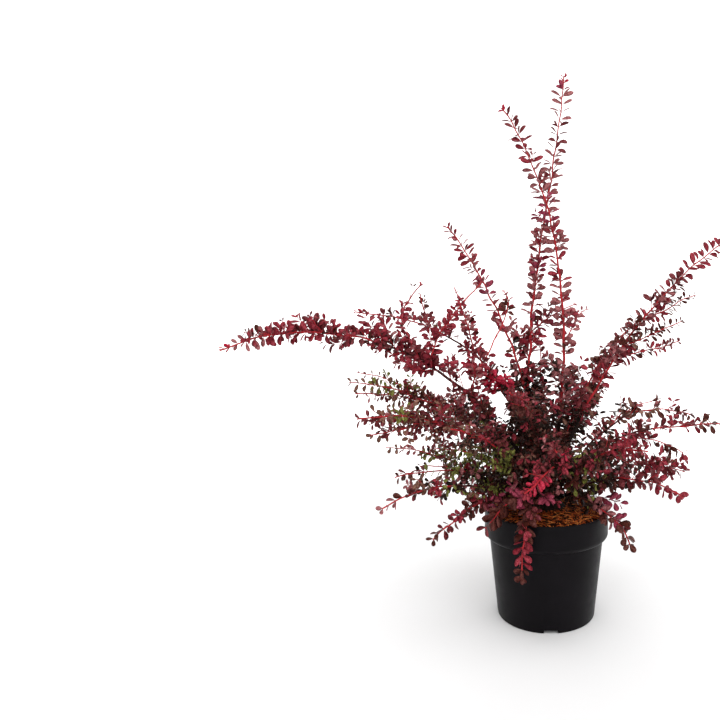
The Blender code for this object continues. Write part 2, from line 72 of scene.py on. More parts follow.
bl_info = {
    "name": "Potted Barberry",
    "version": (1, 0, 0),
    "blender": (4, 5, 0),
    "location": "View3D > Sidebar > Barberry",
    "description": "Builds a potted barberry: pot, mulch, wood, shoots and leaves",
    "category": "Add Mesh",
}

# Pot and growing medium, as the solids have them
RIM_RADIUS = 0.1125
POT_HEIGHT = 0.190
COLLAR_BOTTOM = 0.1415
COLLAR_CORNER = 0.010
BODY_TOP_RADIUS = 0.1035
BODY_BASE_RADIUS = 0.0885
HEEL_RADIUS = 0.0025
CHANNEL_COUNT = 4
CHANNEL_TURN = 1.5
CHANNEL_INNER_RADIUS = 0.060
CHANNEL_WIDTH = 0.028
CHANNEL_HEIGHT = 0.0060
MEDIUM_EDGE_HEIGHT = 0.184
MEDIUM_CROWN_HEIGHT = 0.192

# The crease under the collar: how much of its depth it has at which distance under the collar
CREASE = ((1.0, 0.0012), (0.4, 0.0002))
CREASE_START = 0.0045
WALL_SETBACK = 0.0006
COLLAR_SETBACK = 0.0003
COLLAR_TOP_DEPTH = 0.0060
CHANNEL_OUTER_SHARE = 1.2
CHANNEL_TOP_HALF = 0.40

# The bed of mulch: its profile up to the edge, its dome and its lumps
BED_EDGE = RIM_RADIUS - 0.0028
BED_PROFILE = [
    (0.0, 0.010),
    (BODY_BASE_RADIUS - 0.006, 0.010),
    (BODY_TOP_RADIUS - 0.004, COLLAR_BOTTOM + 0.003),
    (BED_EDGE, COLLAR_BOTTOM + COLLAR_CORNER),
]
BED_TOP = MEDIUM_EDGE_HEIGHT - 0.003
BED_SINK = 0.002
BED_SIDES = 96
BED_RINGS = 16
BED_DOME = 1.6
BED_LUMP = 0.0012

# A wood fibre: place along it, width and rise of each ring, then the corners of a ring
CHIP_RINGS = ((-1.0, 0.25, 0.0), (-0.35, 1.0, 0.35), (0.4, 0.8, 0.3), (1.0, 0.15, -0.1))
CHIP_CORNERS = ((-1, -0.35), (1, -0.35), (0.7, 0.45), (-0.8, 0.4))
CHIP_SIZES = ((0.45, 0.6, 0.6), (1.3, 1.4, 1.4))
CHIP_TILT = 0.30
CHIP_SEED = 3
STRAW_SHARE = 0.7

# Basal stem and the rings that the canes leave it from
FLARE_RADIUS = 0.038
CROWN_RADIUS = 0.025
CROWN_HEIGHT = 0.048
CROWN_SINK = 0.001
CROWN_RINGS = 24
CROWN_SIDES = 48
FLARE_SHARE = 0.3
DOME_FROM = 0.35
DOME_FULLNESS = 0.6
RIPPLES = 6
RIPPLE_SHARE = 0.6
Ring = namedtuple("Ring", "radius height")
RINGS = {"low": Ring(0.021, 0.206), "middle": Ring(0.017, 0.222), "top": Ring(0.011, 0.233)}
STUB_LENGTH = 0.020
STUB_SWELL = 1.4
SEAT = 0.0003

# Canes, side branches and the twigs of the solids
CANE_TIP_RADIUS = 0.0009
THINNEST_STEM = 0.0012
CANE_BASE_RADIUS = 0.0018
CANE_RADIUS_PER_METRE = 0.0025
BRANCH_RADIUS = 0.0011
TWIG_RADIUS = 0.0009
TWIG_SPACING = 0.050
TWIG_STEPS = 2
TWIG_STEP_LENGTHS = (0.75, 1.1)
TWIG_SHORTEST = 0.025
TWIG_SPREAD = 52.0
TWIG_LIFT = 0.30
TWIG_TURN = 25
TWIG_TAPER = 0.5
BRANCH_START = 0.15
BRANCH_TWIG_REACH = 0.7
GOLDEN_TURN = 137.5
SPACE_MARGIN = 0.0012
KEEP_CLEAR = 0.0025

# Fine twigs: how far they reach low and high on a cane, and the ranges that each is drawn from
FINE_LOW_REACH = 0.070
FINE_HIGH_REACH = 0.036
FINE_LOW_SHARE = 0.35
FINE_SHORTEST = 0.014
FINE_LONG = 0.04
FINE_REACHES = (0.40, 1.30)
FINE_TAPER = 0.6
FINE_TURN = 40
FINE_SPREADS = (-24, 8)
FINE_LIFTS = (-0.3, 0.9)
FINE_BEND = 0.16
FINE_UPWARD = 0.2
FINE_BRANCH_START = 0.12
FINE_BRANCH_REACH = 0.5
LOW_BRANCH_THINNING = 1.2
HIGH_BRANCH_THINNING = 2.5

# Points along a stem and a branch, and where on a cane its twigs start
STEM_STEP = 0.008
BRANCH_STEP = 0.01
OWN_SAMPLES = 60
BARE_SAMPLES = 20
TWIGS_FROM = 0.06
FINE_TWIGS_FROM = 0.04
FINE_TWIGS_SHARE = 0.35

# Share of the usual radius that a branch or twig has at its foot, and how much of it is lost
BRANCH_TAPER = (1.3, 0.45)
TWIG_STEP_TAPER = (0.9, 0.2)
FINE_STEP_TAPER = (0.85, 0.12)

# The smooth sway that bends all wood
SWAY = 0.0035
SWAY_LENGTH = 0.034
SWAY_SEED = 3

# The bark's tubes, the share of a stem that is old wood, how deep in the crown twigs take the dark stem bark
# as painted shade, and the spines: one at every third point, so far off square
BOUGH_SIDES = 10
BOUGH_GRAIN = 420.0
SHOOT_SIDES = 6
SHOOT_GRAIN = 500.0
OLD_STEM_SHARE = 0.5
SHADED_TWIG_DEPTH = 0.35
SPINE_RADII = (0.0004, 0.00028, 0.00005)
SPINE_LENGTHS = (0.7, 1.2)
SPINE_LEAN = 0.25
SPINE_POINTS = 3

# Each cane: the ring and the turn (degrees) where it leaves the basal stem, the
# heading (degrees from +X) and reach of its tip from the pot's axis, the tip's
# height over the pot's underside, how steeply it sets out and ends (degrees),
# how far it sets out and ends to the left of its heading (degrees), how boldly
# it bows, the share of it that is bare bough, the reach of its twigs and its tint
Cane = namedtuple(
    "Cane", "name ring turn heading reach height launch finish veer swing bow bare twig tint",
    defaults=(0, 0, 1.0, 0.0, 0.06, "purple"))
CANES = [
    Cane("tall", "top", 140, 40, 0.047, 0.985, 76, 84, 140, -20, bare=0.22, twig=0.03, tint="mauve"),
    Cane("second", "top", 28, -154, 0.090, 0.898, 81, 55, 154, -26, bare=0.22, twig=0.03, tint="mauve"),
    Cane("left_upright", "top", 188, 174, 0.182, 0.707, 88, 54, bare=0.25, twig=0.03, tint="pale"),
    Cane("right_spear", "top", 345, -5, 0.337, 0.685, 70, 32, bare=0.25, twig=0.05, tint="wine"),
    Cane("right_inner", "top", 82, 21, 0.221, 0.547, 66, 25, bare=0.25, twig=0.05),
    Cane("left_arch", "middle", 236, -154, 0.531, 0.482, 58, -22, 20, 0, 1.2, 0.30, 0.08, "berry"),
    Cane("left_high", "middle", 178, -171, 0.336, 0.545, 80, 5, 0, 0, 1.35, 0.35, 0.06, "wine"),
    Cane("left_mid", "middle", 196, -163, 0.336, 0.407, 60, 0, 0, 0, 1.15, 0.25, 0.07, "bronze"),
    Cane("left_cluster", "middle", 215, -146, 0.354, 0.378, 60, -5, bare=0.25, twig=0.08, tint="bronze"),
    Cane("left_green", "low", 165, -175, 0.228, 0.270, 40, 0, tint="olive"),
    Cane("left_low", "low", 192, -163, 0.275, 0.264, 45, -10, tint="wine"),
    Cane("left_droop", "low", 210, -151, 0.307, 0.231, 28, -25),
    Cane("left_fall", "low", 228, -148, 0.227, 0.169, 40, -45, twig=0.03, tint="plum"),
    Cane("front_fall", "low", 260, -110, 0.144, 0.121, 60, -85, bow=1.8, twig=0.02, tint="plum"),
    Cane("front_crimson", "middle", 352, -102, 0.225, 0.274, 65, -25, 90, -30, 1.3, 0.0, 0.05, "crimson"),
    Cane("front_wine", "middle", 262, -109, 0.211, 0.419, 75, 10, bare=0.30, twig=0.07, tint="ruby"),
    Cane("front_left", "low", 242, -131, 0.240, 0.360, 60, 10, bare=0.20, twig=0.07),
    Cane("front_mid", "low", 282, -90, 0.200, 0.330, 60, 0, twig=0.07),
    Cane("front_right", "low", 303, -55, 0.240, 0.330, 60, 0, bare=0.20, twig=0.07, tint="wine"),
    Cane("left_crimson", "top", 235, -150, 0.162, 0.454, 80, 20, bare=0.30, twig=0.05, tint="crimson"),
    Cane("right_mid", "middle", 18, -4, 0.260, 0.361, 55, -20, 0, 0, 1.3, bare=0.25, twig=0.07),
    Cane("right_long", "middle", 325, -28, 0.317, 0.365, 58, 5, 0, 0, 1.2, bare=0.25, twig=0.07),
    Cane("right_low", "low", 12, 10, 0.276, 0.243, 58, -20, bare=0.20, twig=0.07, tint="wine"),
    Cane("right_lower", "low", 345, -30, 0.243, 0.242, 38, -35, twig=0.05, tint="wine"),
    Cane("right_fall", "low", 323, -37, 0.167, 0.154, 45, -70, twig=0.02, tint="plum"),
    Cane("back_upright", "top", 108, 95, 0.100, 0.520, 80, 60, bare=0.25, twig=0.05),
    Cane("back_left", "middle", 145, 140, 0.330, 0.370, 55, 0, bare=0.25, twig=0.08),
    Cane("back_right", "middle", 50, 55, 0.240, 0.400, 60, 15, bare=0.25, twig=0.07),
    Cane("back_mid", "middle", 110, 95, 0.330, 0.360, 58, -5, bare=0.25, twig=0.08, tint="bronze"),
    Cane("back_high", "middle", 80, 70, 0.260, 0.440, 65, 15, bare=0.25, twig=0.07),
    Cane("back_low_left", "low", 140, 150, 0.270, 0.270, 45, -15, twig=0.07, tint="olive"),
    Cane("back_low", "low", 115, 112, 0.270, 0.240, 45, -20, twig=0.07),
    Cane("back_low_right", "low", 50, 40, 0.280, 0.260, 45, -15, twig=0.07),
    Cane("back_fall", "low", 85, 80, 0.170, 0.160, 45, -65, twig=0.03),
]

# Each side branch: the cane it grows on and how far along, then as for a cane
Branch = namedtuple(
    "Branch", "parent at heading reach height launch finish veer swing bow", defaults=(0, 0, 1.0))
BRANCHES = [
    Branch("left_arch", 0.36, -134, 0.112, 0.579, 60, 40, 30, 0),
    Branch("left_arch", 0.50, -133, 0.163, 0.591, 50, 40, 40, 90),
    Branch("left_high", 0.55, -148, 0.188, 0.580, 70, 60),
    Branch("left_high", 0.85, -148, 0.246, 0.586, 50, 30, 90, 90),
    Branch("left_high", 0.75, -155, 0.236, 0.572, 80, 80),
    Branch("left_mid", 0.60, -160, 0.347, 0.427, 20, 0),
    Branch("left_mid", 0.50, -171, 0.336, 0.441, 30, 10),
    Branch("left_cluster", 0.60, -148, 0.330, 0.350, 10, -10),
    Branch("left_green", 0.60, -170, 0.288, 0.308, 30, 0),
    Branch("front_fall", 0.25, -134, 0.153, 0.187, 20, -40),
    Branch("right_spear", 0.60, 0, 0.273, 0.581, 20, 20),
    Branch("right_spear", 0.50, -12, 0.239, 0.531, 20, 25),
    Branch("right_spear", 0.45, 9, 0.260, 0.494, 20, 20),
    Branch("right_mid", 0.45, 23, 0.256, 0.378, 40, 5),
    Branch("right_long", 0.40, -13, 0.240, 0.300, 20, -40),
    Branch("tall", 0.37, 30, 0.067, 0.568, 40, 30),
    Branch("second", 0.38, 14, 0.082, 0.557, 50, 20),
]

# Gaps of the crown where the sky shows, as the camera sees them on an upright plane through
# the pot's axis: how far across, how high and how wide
CAMERA = (-0.077, -1.0125, 0.487)
Gap = namedtuple("Gap", "across height radius")
GAPS = [Gap(*row) for row in (
    (-0.092, 0.498, 0.023), (-0.135, 0.576, 0.020), (-0.200, 0.560, 0.016), (-0.173, 0.487, 0.017),
    (-0.248, 0.581, 0.018), (-0.183, 0.475, 0.012), (-0.198, 0.420, 0.024), (-0.084, 0.388, 0.017),
    (-0.279, 0.322, 0.013), (-0.200, 0.265, 0.014), (-0.061, 0.169, 0.013), (0.031, 0.634, 0.013),
    (-0.021, 0.464, 0.013), (-0.045, 0.453, 0.009), (-0.041, 0.572, 0.009), (-0.074, 0.533, 0.010),
    (-0.310, 0.552, 0.008), (-0.250, 0.260, 0.008), (-0.123, 0.457, 0.009), (-0.236, 0.519, 0.010),
    (0.127, 0.342, 0.010), (0.079, 0.428, 0.009), (-0.039, 0.533, 0.010), (-0.146, 0.417, 0.011),
    (-0.259, 0.203, 0.009), (-0.225, 0.201, 0.012), (0.042, 0.515, 0.011), (0.038, 0.561, 0.011),
    (0.046, 0.461, 0.013), (0.160, 0.244, 0.010), (0.239, 0.226, 0.009), (0.179, 0.562, 0.012),
    (0.173, 0.490, 0.009), (-0.228, 0.555, 0.009), (0.184, 0.378, 0.014), (0.219, 0.379, 0.010),
    (0.213, 0.318, 0.016), (0.244, 0.320, 0.021),
)]

# The dense middle of the crown: its axis, its reach, the height where it thins and over what rise, and its
# depth in the middle, which decides where leaves and twigs are painted darker as shade
DENSE_AXIS_X = -0.025
DENSE_REACH = 0.158
DENSE_TOP = 0.31
DENSE_RISE = 0.17
DENSE_DEPTH = 1.5

# Leaf blade: places along it, and the half width there as a share of its length
BLADE_PLACES = (0.0, 0.16, 0.36, 0.60, 0.82, 0.95, 1.0)
BLADE_WIDTHS = (0.0, 0.045, 0.190, 0.270, 0.245, 0.130, 0.0)
BLADE_DEPTH = 0.012
BLADE_FOLDS = (0.05, 0.50)
BLADE_CURLS = (-0.08, 0.20)
BLADE_BREADTHS = (0.85, 1.12)
# Painted light on the leaves: how seldom a leaf is painted bright, and how far one half of its fold is
# painted lighter and the other darker
SHADE_BIAS = 1.3
SHADE_LEAN = 0.5
LEAVES_PER_PIECE = 4800

# Where the crown turns airy, and which way the upper sides of its low and its high leaves face
AIRY_FROM = 0.38
AIRY_RISE = 0.10
LOW_FACE = (0.05, -0.65, 0.75)
HIGH_FACE = (0.05, -0.80, 0.60)
OUTWARD_FACE = 0.7

# How a leaf stands: degrees round the stem, degrees from the stem low and high in the crown, rise,
# how it shrinks where it is young or deep inside, and how far it rolls
LEAF_TURN = 28
LOW_SPREAD = (45, 84)
HIGH_SPREAD = (55, 88)
LEAF_RISE = 0.15
LOW_DROOP = 0.25
HIGH_LIFT = 0.12
HIGH_FLATTENING = 0.4
LEAF_LENGTHS = (0.72, 1.05)
YOUNG_SHRINK = 0.60
INNER_SIZE = 0.85
GAP_EDGES = (0.75, 1.1)
AIRY_BRANCH_SHRINK = 0.45
HIGH_ROLL_LOSS = 0.3
SPRAY_NODES = 4
ROSETTE_SPREAD = 2.2

# The young tips: how long they are, how young low tips are, and from when on they take their own tints
TIP_LENGTHS = {"stem": 0.040, "branch": 0.020, "twig": 0.016}
LOW_TIP_YOUTH = 0.25
TIP_TINT_YOUTH = 0.6
YOUNG_SPREAD_LOSS = 0.5
YOUNG_SPACING_LOSS = 0.45

# How often each tint of leaf is dealt to a spray, by the cane's own tint
PALETTES = {
    "purple": {"dusk": 3, "purple": 6, "wine": 4, "mauve": 2, "bronze": 4},
    "wine": {"dusk": 3, "purple": 5, "wine": 7, "mauve": 2, "bronze": 1},
    "crimson": {"wine": 2, "crimson": 9},
    "maroon": {"wine": 6, "purple": 5, "dusk": 3},
    "berry": {"wine": 9, "purple": 4, "dusk": 2, "mauve": 1},
    "ruby": {"wine": 6, "crimson": 2, "purple": 3},
    "plum": {"dusk": 4, "purple": 6, "wine": 2, "rose": 2, "mauve": 1},
    "bronze": {"dusk": 2, "purple": 4, "bronze": 7, "mauve": 2, "olive": 1, "wine": 1},
    "olive": {"olive": 8, "bronze": 3, "wine": 1, "purple": 1},
    "mauve": {"mauve": 7, "wine": 4, "purple": 2, "rose": 2},
    "pale": {"mauve": 8, "rose": 4, "wine": 3},
}
TIP_PALETTE = {"ember": 2, "crimson": 4, "wine": 4}
# Leaves deep in the crown are painted dark as shade: they take the brown black and nearly black purple tints,
# or, where they turn green, olive with brown black painted shade among it
PAINTED_SHADE_PALETTE = {"murk": 8, "bronze": 1, "dusk": 4}
SHADE_PALETTE = {"olive": 8, "murk": 4, "bronze": 2}

# Where the inner leaves are shaded to green: from and to which X and how many, Y and heights
SHADED = ((-0.24, -0.06, 0.9), (0.03, 0.10, 0.2))
SHADED_FROM_Y = -0.13
SHADED_HEIGHTS = (0.20, 0.32)

# How far from the pot's axis olive canes turn bronze, and plum canes have no inner leaves any more
OLIVE_REACH = 0.18
PLUM_INNER_REACH = 0.095

# The finish of each tint of leaf
TINT_SLOTS = {
    "murk": "leaf_purple",
    "dusk": "leaf_purple",
    "purple": "leaf_purple",
    "wine": "leaf_wine",
    "mauve": "leaf_wine",
    "rose": "leaf_wine",
    "crimson": "leaf_crimson",
    "ember": "leaf_crimson",
    "bronze": "leaf_bronze",
    "olive": "leaf_olive",
}

# How a cane grows: how many more fine twigs than usual, how large its leaves are, how far apart
# its rosettes, how broad its blades, how much its leaves shrink towards the tip, the leaves of a
# rosette and how young its tips are
Habit = namedtuple(
    "Habit", "twigs leaf spacing broad shrink rosette young",
    defaults=(1.0, 1.0, 1.0, 1.0, 0.22, 2.6, 1.0))
HABITS = {
    "tall": Habit(1.0, 1.30, 1.08, 0.80, 0.04, 3.0, 0.9),
    "second": Habit(0.8, 1.25, 1.02, 0.82, 0.05, 3.1, 0.8),
    "left_upright": Habit(0.9, 1.30, 0.88, 0.82, 0.05, 3.0, 0.8),
    "right_spear": Habit(0.45, 1.22, 0.86, 0.82, 0.02, 2.9, 0.4),
    "right_inner": Habit(2.0, 1.15, 1.05, 0.85),
    "left_arch": Habit(1.9, 1.10, 0.92, 0.86, 0.05, 2.8),
    "left_high": Habit(0.7, 1.02, 1.05, 0.84, 0.10, 2.4),
    "left_mid": Habit(1.3, 0.95, 1.05, 0.78, 0.10, 2.3),
    "left_cluster": Habit(2.4, 1.0, 1.0, 0.82, 0.10, 2.5),
    "left_low": Habit(1.8, 1.0, 0.95, 0.92, 0.10, 2.4),
    "left_droop": Habit(1.7, 1.0, 0.95, 1.0, 0.10, 2.4),
    "left_fall": Habit(1.7, 1.06, 0.9, 0.95, 0.05),
    "left_crimson": Habit(2.8, 1.08, 0.70, 0.84, 0.05, 3.4, 0.5),
    "left_green": Habit(2.2, 0.95, 1.0, 0.90),
    "front_wine": Habit(1.1, 0.95, 1.0, 0.82),
    "front_left": Habit(1.7, 0.95, 1.0, 0.84),
    "front_mid": Habit(1.3, 0.98, 1.0, 0.84),
    "front_right": Habit(2.2, 1.0, 1.0, 0.86),
    "front_crimson": Habit(1.9, 0.95, 0.70, 0.84, 0.10, 3.2),
    "front_fall": Habit(1.1, 1.35, 0.85, 0.95, 0.10, 2.4),
    "right_mid": Habit(0.5, 1.15, 1.15, 0.95, 0.10, 2.3),
    "right_long": Habit(0.4, 1.15, 1.0, 0.9, 0.05, 2.3),
    "right_low": Habit(1.3, 1.13, 1.05, 1.0, 0.05, 2.6),
    "right_lower": Habit(1.3, 1.20, 1.0, 1.0, 0.05, 2.7),
    "right_fall": Habit(1.2, 1.25, 1.0, 1.05, 0.05, 2.5),
    "back_upright": Habit(1.5, 1.05, 1.0, 0.90, 0.10, 2.6, 0.5),
    "back_right": Habit(2.8, 1.15, 1.0, 0.9),
    "back_high": Habit(1.7, 1.1, 1.0, 0.9),
    "back_left": Habit(1.6),
    "back_mid": Habit(1.7),
    "back_low_left": Habit(1.6),
    "back_low": Habit(1.7),
    "back_low_right": Habit(1.7),
    "back_fall": Habit(1.5, 1.1),
}

# How much longer than usual the upper fine twigs of a cane are, and how much shorter the lower ones
UPWARD_REACHES = {"left_arch": 0.35, "left_cluster": -0.25, "left_green": 0.4, "right_inner": -0.15}

# From which share of a cane's reach on its leaves are crimson: over the share before, they redden
CRIMSON_FROM = {"left_crimson": 0.50, "front_crimson": 0.80, "front_wine": 1.0}
REDDENING = 0.20

# Size and spacing of the leaves by the rank of their wood
RANK_SIZES = {"stem": 1.0, "branch": 0.95, "twig": 0.88}
RANK_SPACINGS = {"stem": 1.0, "branch": 0.85, "twig": 0.75}

# Stage: the way to the large soft light, and the floor and its sweep, as (distance, height)
KEY_DIRECTION = (0.20, -0.68, 1.0)
FLOOR_PROFILE = [(-5.0, 0.0), (1.0, 0.0), (2.0, 0.0)]
FLOOR_HALF_WIDTH = 7.0
SWEEP_FROM = 2.0
SWEEP_RADIUS = 1.5
SWEEP_STEPS = 16
BACKDROP_HEIGHT = 6.0
WHITE = (1.0, 1.0, 1.0, 1.0)

BOUGH_NODES = [name for name in frame["nodes"] if name.startswith("bough_")]
FOLIAGE_NODES = [name for name in frame["nodes"] if name.startswith("foliage_")]


def colour_setting(name, description, default):
    """Return a colour setting."""
    return FloatVectorProperty(
        name=name, description=description, default=default, subtype="COLOR", min=0.0, max=1.0)


# What a number in the settings can be
LENGTH = {"unit": "LENGTH", "min": 0.0, "precision": 5}
ANGLE = {"unit": "ROTATION"}
SHARE = {"min": 0.0, "max": 1.0, "subtype": "FACTOR"}
STRENGTH = {"min": 0.0}


def number_setting(name, description, default, kind):
    """Return a number setting: a length, an angle, a share or a strength."""
    return FloatProperty(name=name, description=description, default=default, **kind)


class PotSettings(bpy.types.PropertyGroup):
    """Sizes and finish of the nursery pot."""

    lip: number_setting("Lip", "Thickness of the rounded rim", 0.0021, LENGTH)
    crease: number_setting("Crease", "Depth of the groove under the collar", 0.0006, LENGTH)
    sides: IntProperty(name="Sides", description="Faces round the pot", default=128, min=24)
    colour: colour_setting("Colour", "Colour of the black plastic", (0.0028, 0.0021, 0.0030))
    roughness: number_setting("Roughness", "How dull the plastic is", 0.40, SHARE)


class MulchSettings(bpy.types.PropertyGroup):
    """Sizes and colours of the wood fibre mulch."""

    chip_length: number_setting("Chip length", "Length of a usual wood fibre", 0.024, LENGTH)
    chip_width: number_setting("Chip width", "Width of a usual wood fibre", 0.0018, LENGTH)
    chips: IntProperty(
        name="Chips", description="Wood fibres of each colour per square metre", default=22000, min=0)
    dark: colour_setting("Dark", "Colour of the wet, dark fibres", (0.030, 0.007, 0.002))
    rust: colour_setting("Rust", "Colour of the usual fibres", (0.400, 0.072, 0.014))
    straw: colour_setting("Straw", "Colour of the pale fibres", (0.720, 0.225, 0.055))


class WoodSettings(bpy.types.PropertyGroup):
    """Relief and colours of the bark."""

    relief: number_setting(
        "Relief", "Depth of the bark's ridges as a share of the limb's radius", 0.22, SHARE)
    spine: number_setting("Spine", "Length of a spine", 0.0075, LENGTH)
    old: colour_setting("Old bark", "Colour of the old wood", (0.007, 0.0035, 0.0025))
    ridge: colour_setting("Ridges", "Colour of the ridges on the old wood", (0.026, 0.014, 0.010))
    stem: colour_setting("Stems", "Colour of last year's stems", (0.055, 0.011, 0.010))
    shoot: colour_setting("Shoots", "Colour of the red young shoots", (0.380, 0.020, 0.026))


class LeafSettings(bpy.types.PropertyGroup):
    """Sizes and tints of the leaves."""

    longest: number_setting("Length", "Length of a full grown leaf", 0.0188, LENGTH)
    node_spacing: number_setting("Node spacing", "Distance between rosettes along a stem", 0.0130, LENGTH)
    twig_spacing: number_setting("Twig spacing", "Distance between fine twigs along a stem", 0.0160, LENGTH)
    # The brown black of the inner leaves is painted shade
    murk: colour_setting("Murk", "Brown black of the inner leaves", (0.018, 0.007, 0.003))
    dusk: colour_setting("Dusk", "Nearly black purple", (0.085, 0.018, 0.012))
    purple: colour_setting("Purple", "Dark purple", (0.160, 0.024, 0.029))
    wine: colour_setting("Wine", "Wine red", (0.260, 0.022, 0.036))
    # Mauve stands partly for the leaves' own greyish pink and partly for painted sheen, the sky's pale
    # reflection on the upper sides of the high leaves
    mauve: colour_setting("Mauve", "Pale upper sides of the high leaves", (0.310, 0.100, 0.105))
    rose: colour_setting("Rose", "Mottled pink", (0.290, 0.036, 0.070))
    crimson: colour_setting("Crimson", "New growth", (0.480, 0.014, 0.042))
    ember: colour_setting("Ember", "Orange red tips", (0.520, 0.035, 0.025))
    bronze: colour_setting("Bronze", "Bronze", (0.180, 0.080, 0.054))
    olive: colour_setting("Olive", "Shaded green", (0.175, 0.182, 0.036))


class StageSettings(bpy.types.PropertyGroup):
    """Floor, light and camera."""

    camera: FloatVectorProperty(
        name="Camera", description="Place of the camera", default=CAMERA, subtype="XYZ", unit="LENGTH")
    tilt: number_setting("Tilt", "How far the camera looks down", radians(1.5), ANGLE)
    lens: FloatProperty(name="Lens", description="Focal length in millimetres", default=27.75, min=1.0)
    shift: FloatProperty(name="Shift", description="Sideways shift of the lens", default=-0.20)
    floor: colour_setting("Floor", "Colour of the floor and backdrop", (0.86, 0.86, 0.86))
    sky: number_setting("Sky", "Strength of the even light", 0.50, STRENGTH)
    key: number_setting("Key", "Strength of the large soft light", 2.43, STRENGTH)
    softness: number_setting("Softness", "Width of the large soft light", radians(92), ANGLE)
    backlight: number_setting("Backlight", "Glow of the backdrop", 0.60, STRENGTH)


SETTINGS = {
    "barberry_pot": PotSettings,
    "barberry_mulch": MulchSettings,
    "barberry_wood": WoodSettings,
    "barberry_leaf": LeafSettings,
    "barberry_stage": StageSettings,
}


# The way up, and what a vector is multiplied by to lie level
UP = np.array((0.0, 0.0, 1.0))
LEVEL = np.array((1.0, 1.0, 0.0))


def unit(vector):
    """Return the vector at a length of one."""
    return vector / np.linalg.norm(vector)


def ray(heading, rise):
    """Return the direction of a heading and a rise over the horizontal, in degrees."""
    flat = cos(radians(rise))
    return np.array((cos(radians(heading)) * flat, sin(radians(heading)) * flat, sin(radians(rise))))


def spot(radius, turn, height):
    """Return the point at a radius and a turn (degrees) about the pot's axis, and at a height."""
    return np.array((radius * cos(radians(turn)), radius * sin(radians(turn)), height))


def leaning(axis, side, degrees):
    """Return the direction that leans from an axis to one side."""
    return axis * cos(radians(degrees)) + side * sin(radians(degrees))


def around(axis, turn):
    """Return a direction square to an axis, turned about it by some degrees from the upper side."""
    level = np.cross(UP, axis)
    if np.linalg.norm(level) < 0.05:
        level = np.array((1.0, 0.0, 0.0))
    level = unit(level)
    return leaning(unit(np.cross(axis, level)), level, turn)


def lengths_along(points):
    """Return how far along a row of points each of them lies."""
    steps = np.linalg.norm(np.diff(points, axis=0), axis=1)
    return np.concatenate(([0.0], np.cumsum(steps)))


def point_along(points, lengths, place):
    """Return the point that lies some way along a row of points."""
    return np.array([np.interp(place, lengths, points[:, k]) for k in range(3)])


class Line:
    """A smooth line that sets out and ends in given directions, read by its share of length."""

    def __init__(self, start, out, end, into, bow, samples=40):
        reach = np.linalg.norm(end - start) * bow
        t = np.linspace(0.0, 1.0, samples)[:, None]
        self.points = ((2 * t**3 - 3 * t**2 + 1) * start + (t**3 - 2 * t**2 + t) * out * reach
                       + (3 * t**2 - 2 * t**3) * end + (t**3 - t**2) * into * reach)
        self.lengths = lengths_along(self.points)
        self.length = self.lengths[-1]

    def at(self, share):
        """Return the point at a share of the line's length."""
        return point_along(self.points, self.lengths, share * self.length)

    def along(self, share):
        """Return the line's direction at a share of its length."""
        return unit(self.at(min(share + 0.02, 1.0)) - self.at(max(share - 0.02, 0.0)))


def line_of(growth, start):
    """Return the line of a cane or branch that starts at a point."""
    return Line(start, ray(growth.heading + growth.veer, growth.launch),
                spot(growth.reach, growth.heading, growth.height),
                ray(growth.heading + growth.swing, growth.finish), growth.bow)


def cane_line(cane):
    """Return the line of a cane from inside the basal stem to its tip."""
    ring = RINGS[cane.ring]
    return line_of(cane, spot(ring.radius, cane.turn, ring.height))


def cane_radius(line, share):
    """Return the radius of a cane at a share of its length: a straight taper with a swollen foot."""
    base = CANE_BASE_RADIUS + CANE_RADIUS_PER_METRE * line.length
    foot = max(0.0, 1 - share * line.length / STUB_LENGTH)
    return (base + (CANE_TIP_RADIUS - base) * share) * (1 + (STUB_SWELL - 1) * foot)


def tree_of(points):
    """Return a search tree of points."""
    tree = KDTree(len(points))
    for number, point in enumerate(points):
        tree.insert(point, number)
    tree.balance()
    return tree


def clear_of_pot(point):
    """Tell whether a point is clear of the pot, its medium and the basal stem."""
    radius = np.hypot(point[0], point[1])
    if radius < RIM_RADIUS + KEEP_CLEAR and point[2] < MEDIUM_CROWN_HEIGHT + KEEP_CLEAR:
        return False
    return radius >= FLARE_RADIUS or point[2] >= MEDIUM_CROWN_HEIGHT + CROWN_HEIGHT + KEEP_CLEAR


class Space:
    """The space that one mass keeps to: nearer to its own stem and branches than to any other."""

    def __init__(self, own, others):
        self.own = tree_of(own)
        self.others = tree_of(others)

    def holds(self, points):
        """Tell whether all points lie in the space, clear of the pot, its medium and the basal stem."""
        for point in points:
            if self.others.find(point)[2] < self.own.find(point)[2] + SPACE_MARGIN:
                return False
            if not clear_of_pot(point):
                return False
        return True

    def misses_limbs(self, point):
        """Tell whether a fine twig's point is clear of the other limbs and of the pot."""
        return self.others.find(point)[2] > TWIG_RADIUS * 4 and clear_of_pot(point)


def in_gap(point, share):
    """Tell whether a point lies in front of or behind the open part, up to a share, of a gap in the crown."""
    far = CAMERA[1] / (CAMERA[1] - point[1])
    across = CAMERA[0] + (point[0] - CAMERA[0]) * far
    height = CAMERA[2] + (point[2] - CAMERA[2]) * far
    return any(np.hypot(across - gap.across, height - gap.height) < gap.radius * share for gap in GAPS)


def grow_twig(draw, line, share, turn, reach, space):
    """Return the points of a twig that leaves a line, as far as it stays in its space."""
    axis = line.along(share)
    side = around(axis, turn)
    heading = leaning(axis, side, TWIG_SPREAD)
    centres = [line.at(share)]
    step = reach * draw.uniform(*TWIG_STEP_LENGTHS) / TWIG_STEPS
    for _ in range(TWIG_STEPS):
        heading = unit(heading + UP * TWIG_LIFT)
        after = centres[-1] + heading * step
        if not space.holds([after, after + side * TWIG_RADIUS * 2, after - side * TWIG_RADIUS * 2]):
            break
        centres.append(after)
    return centres


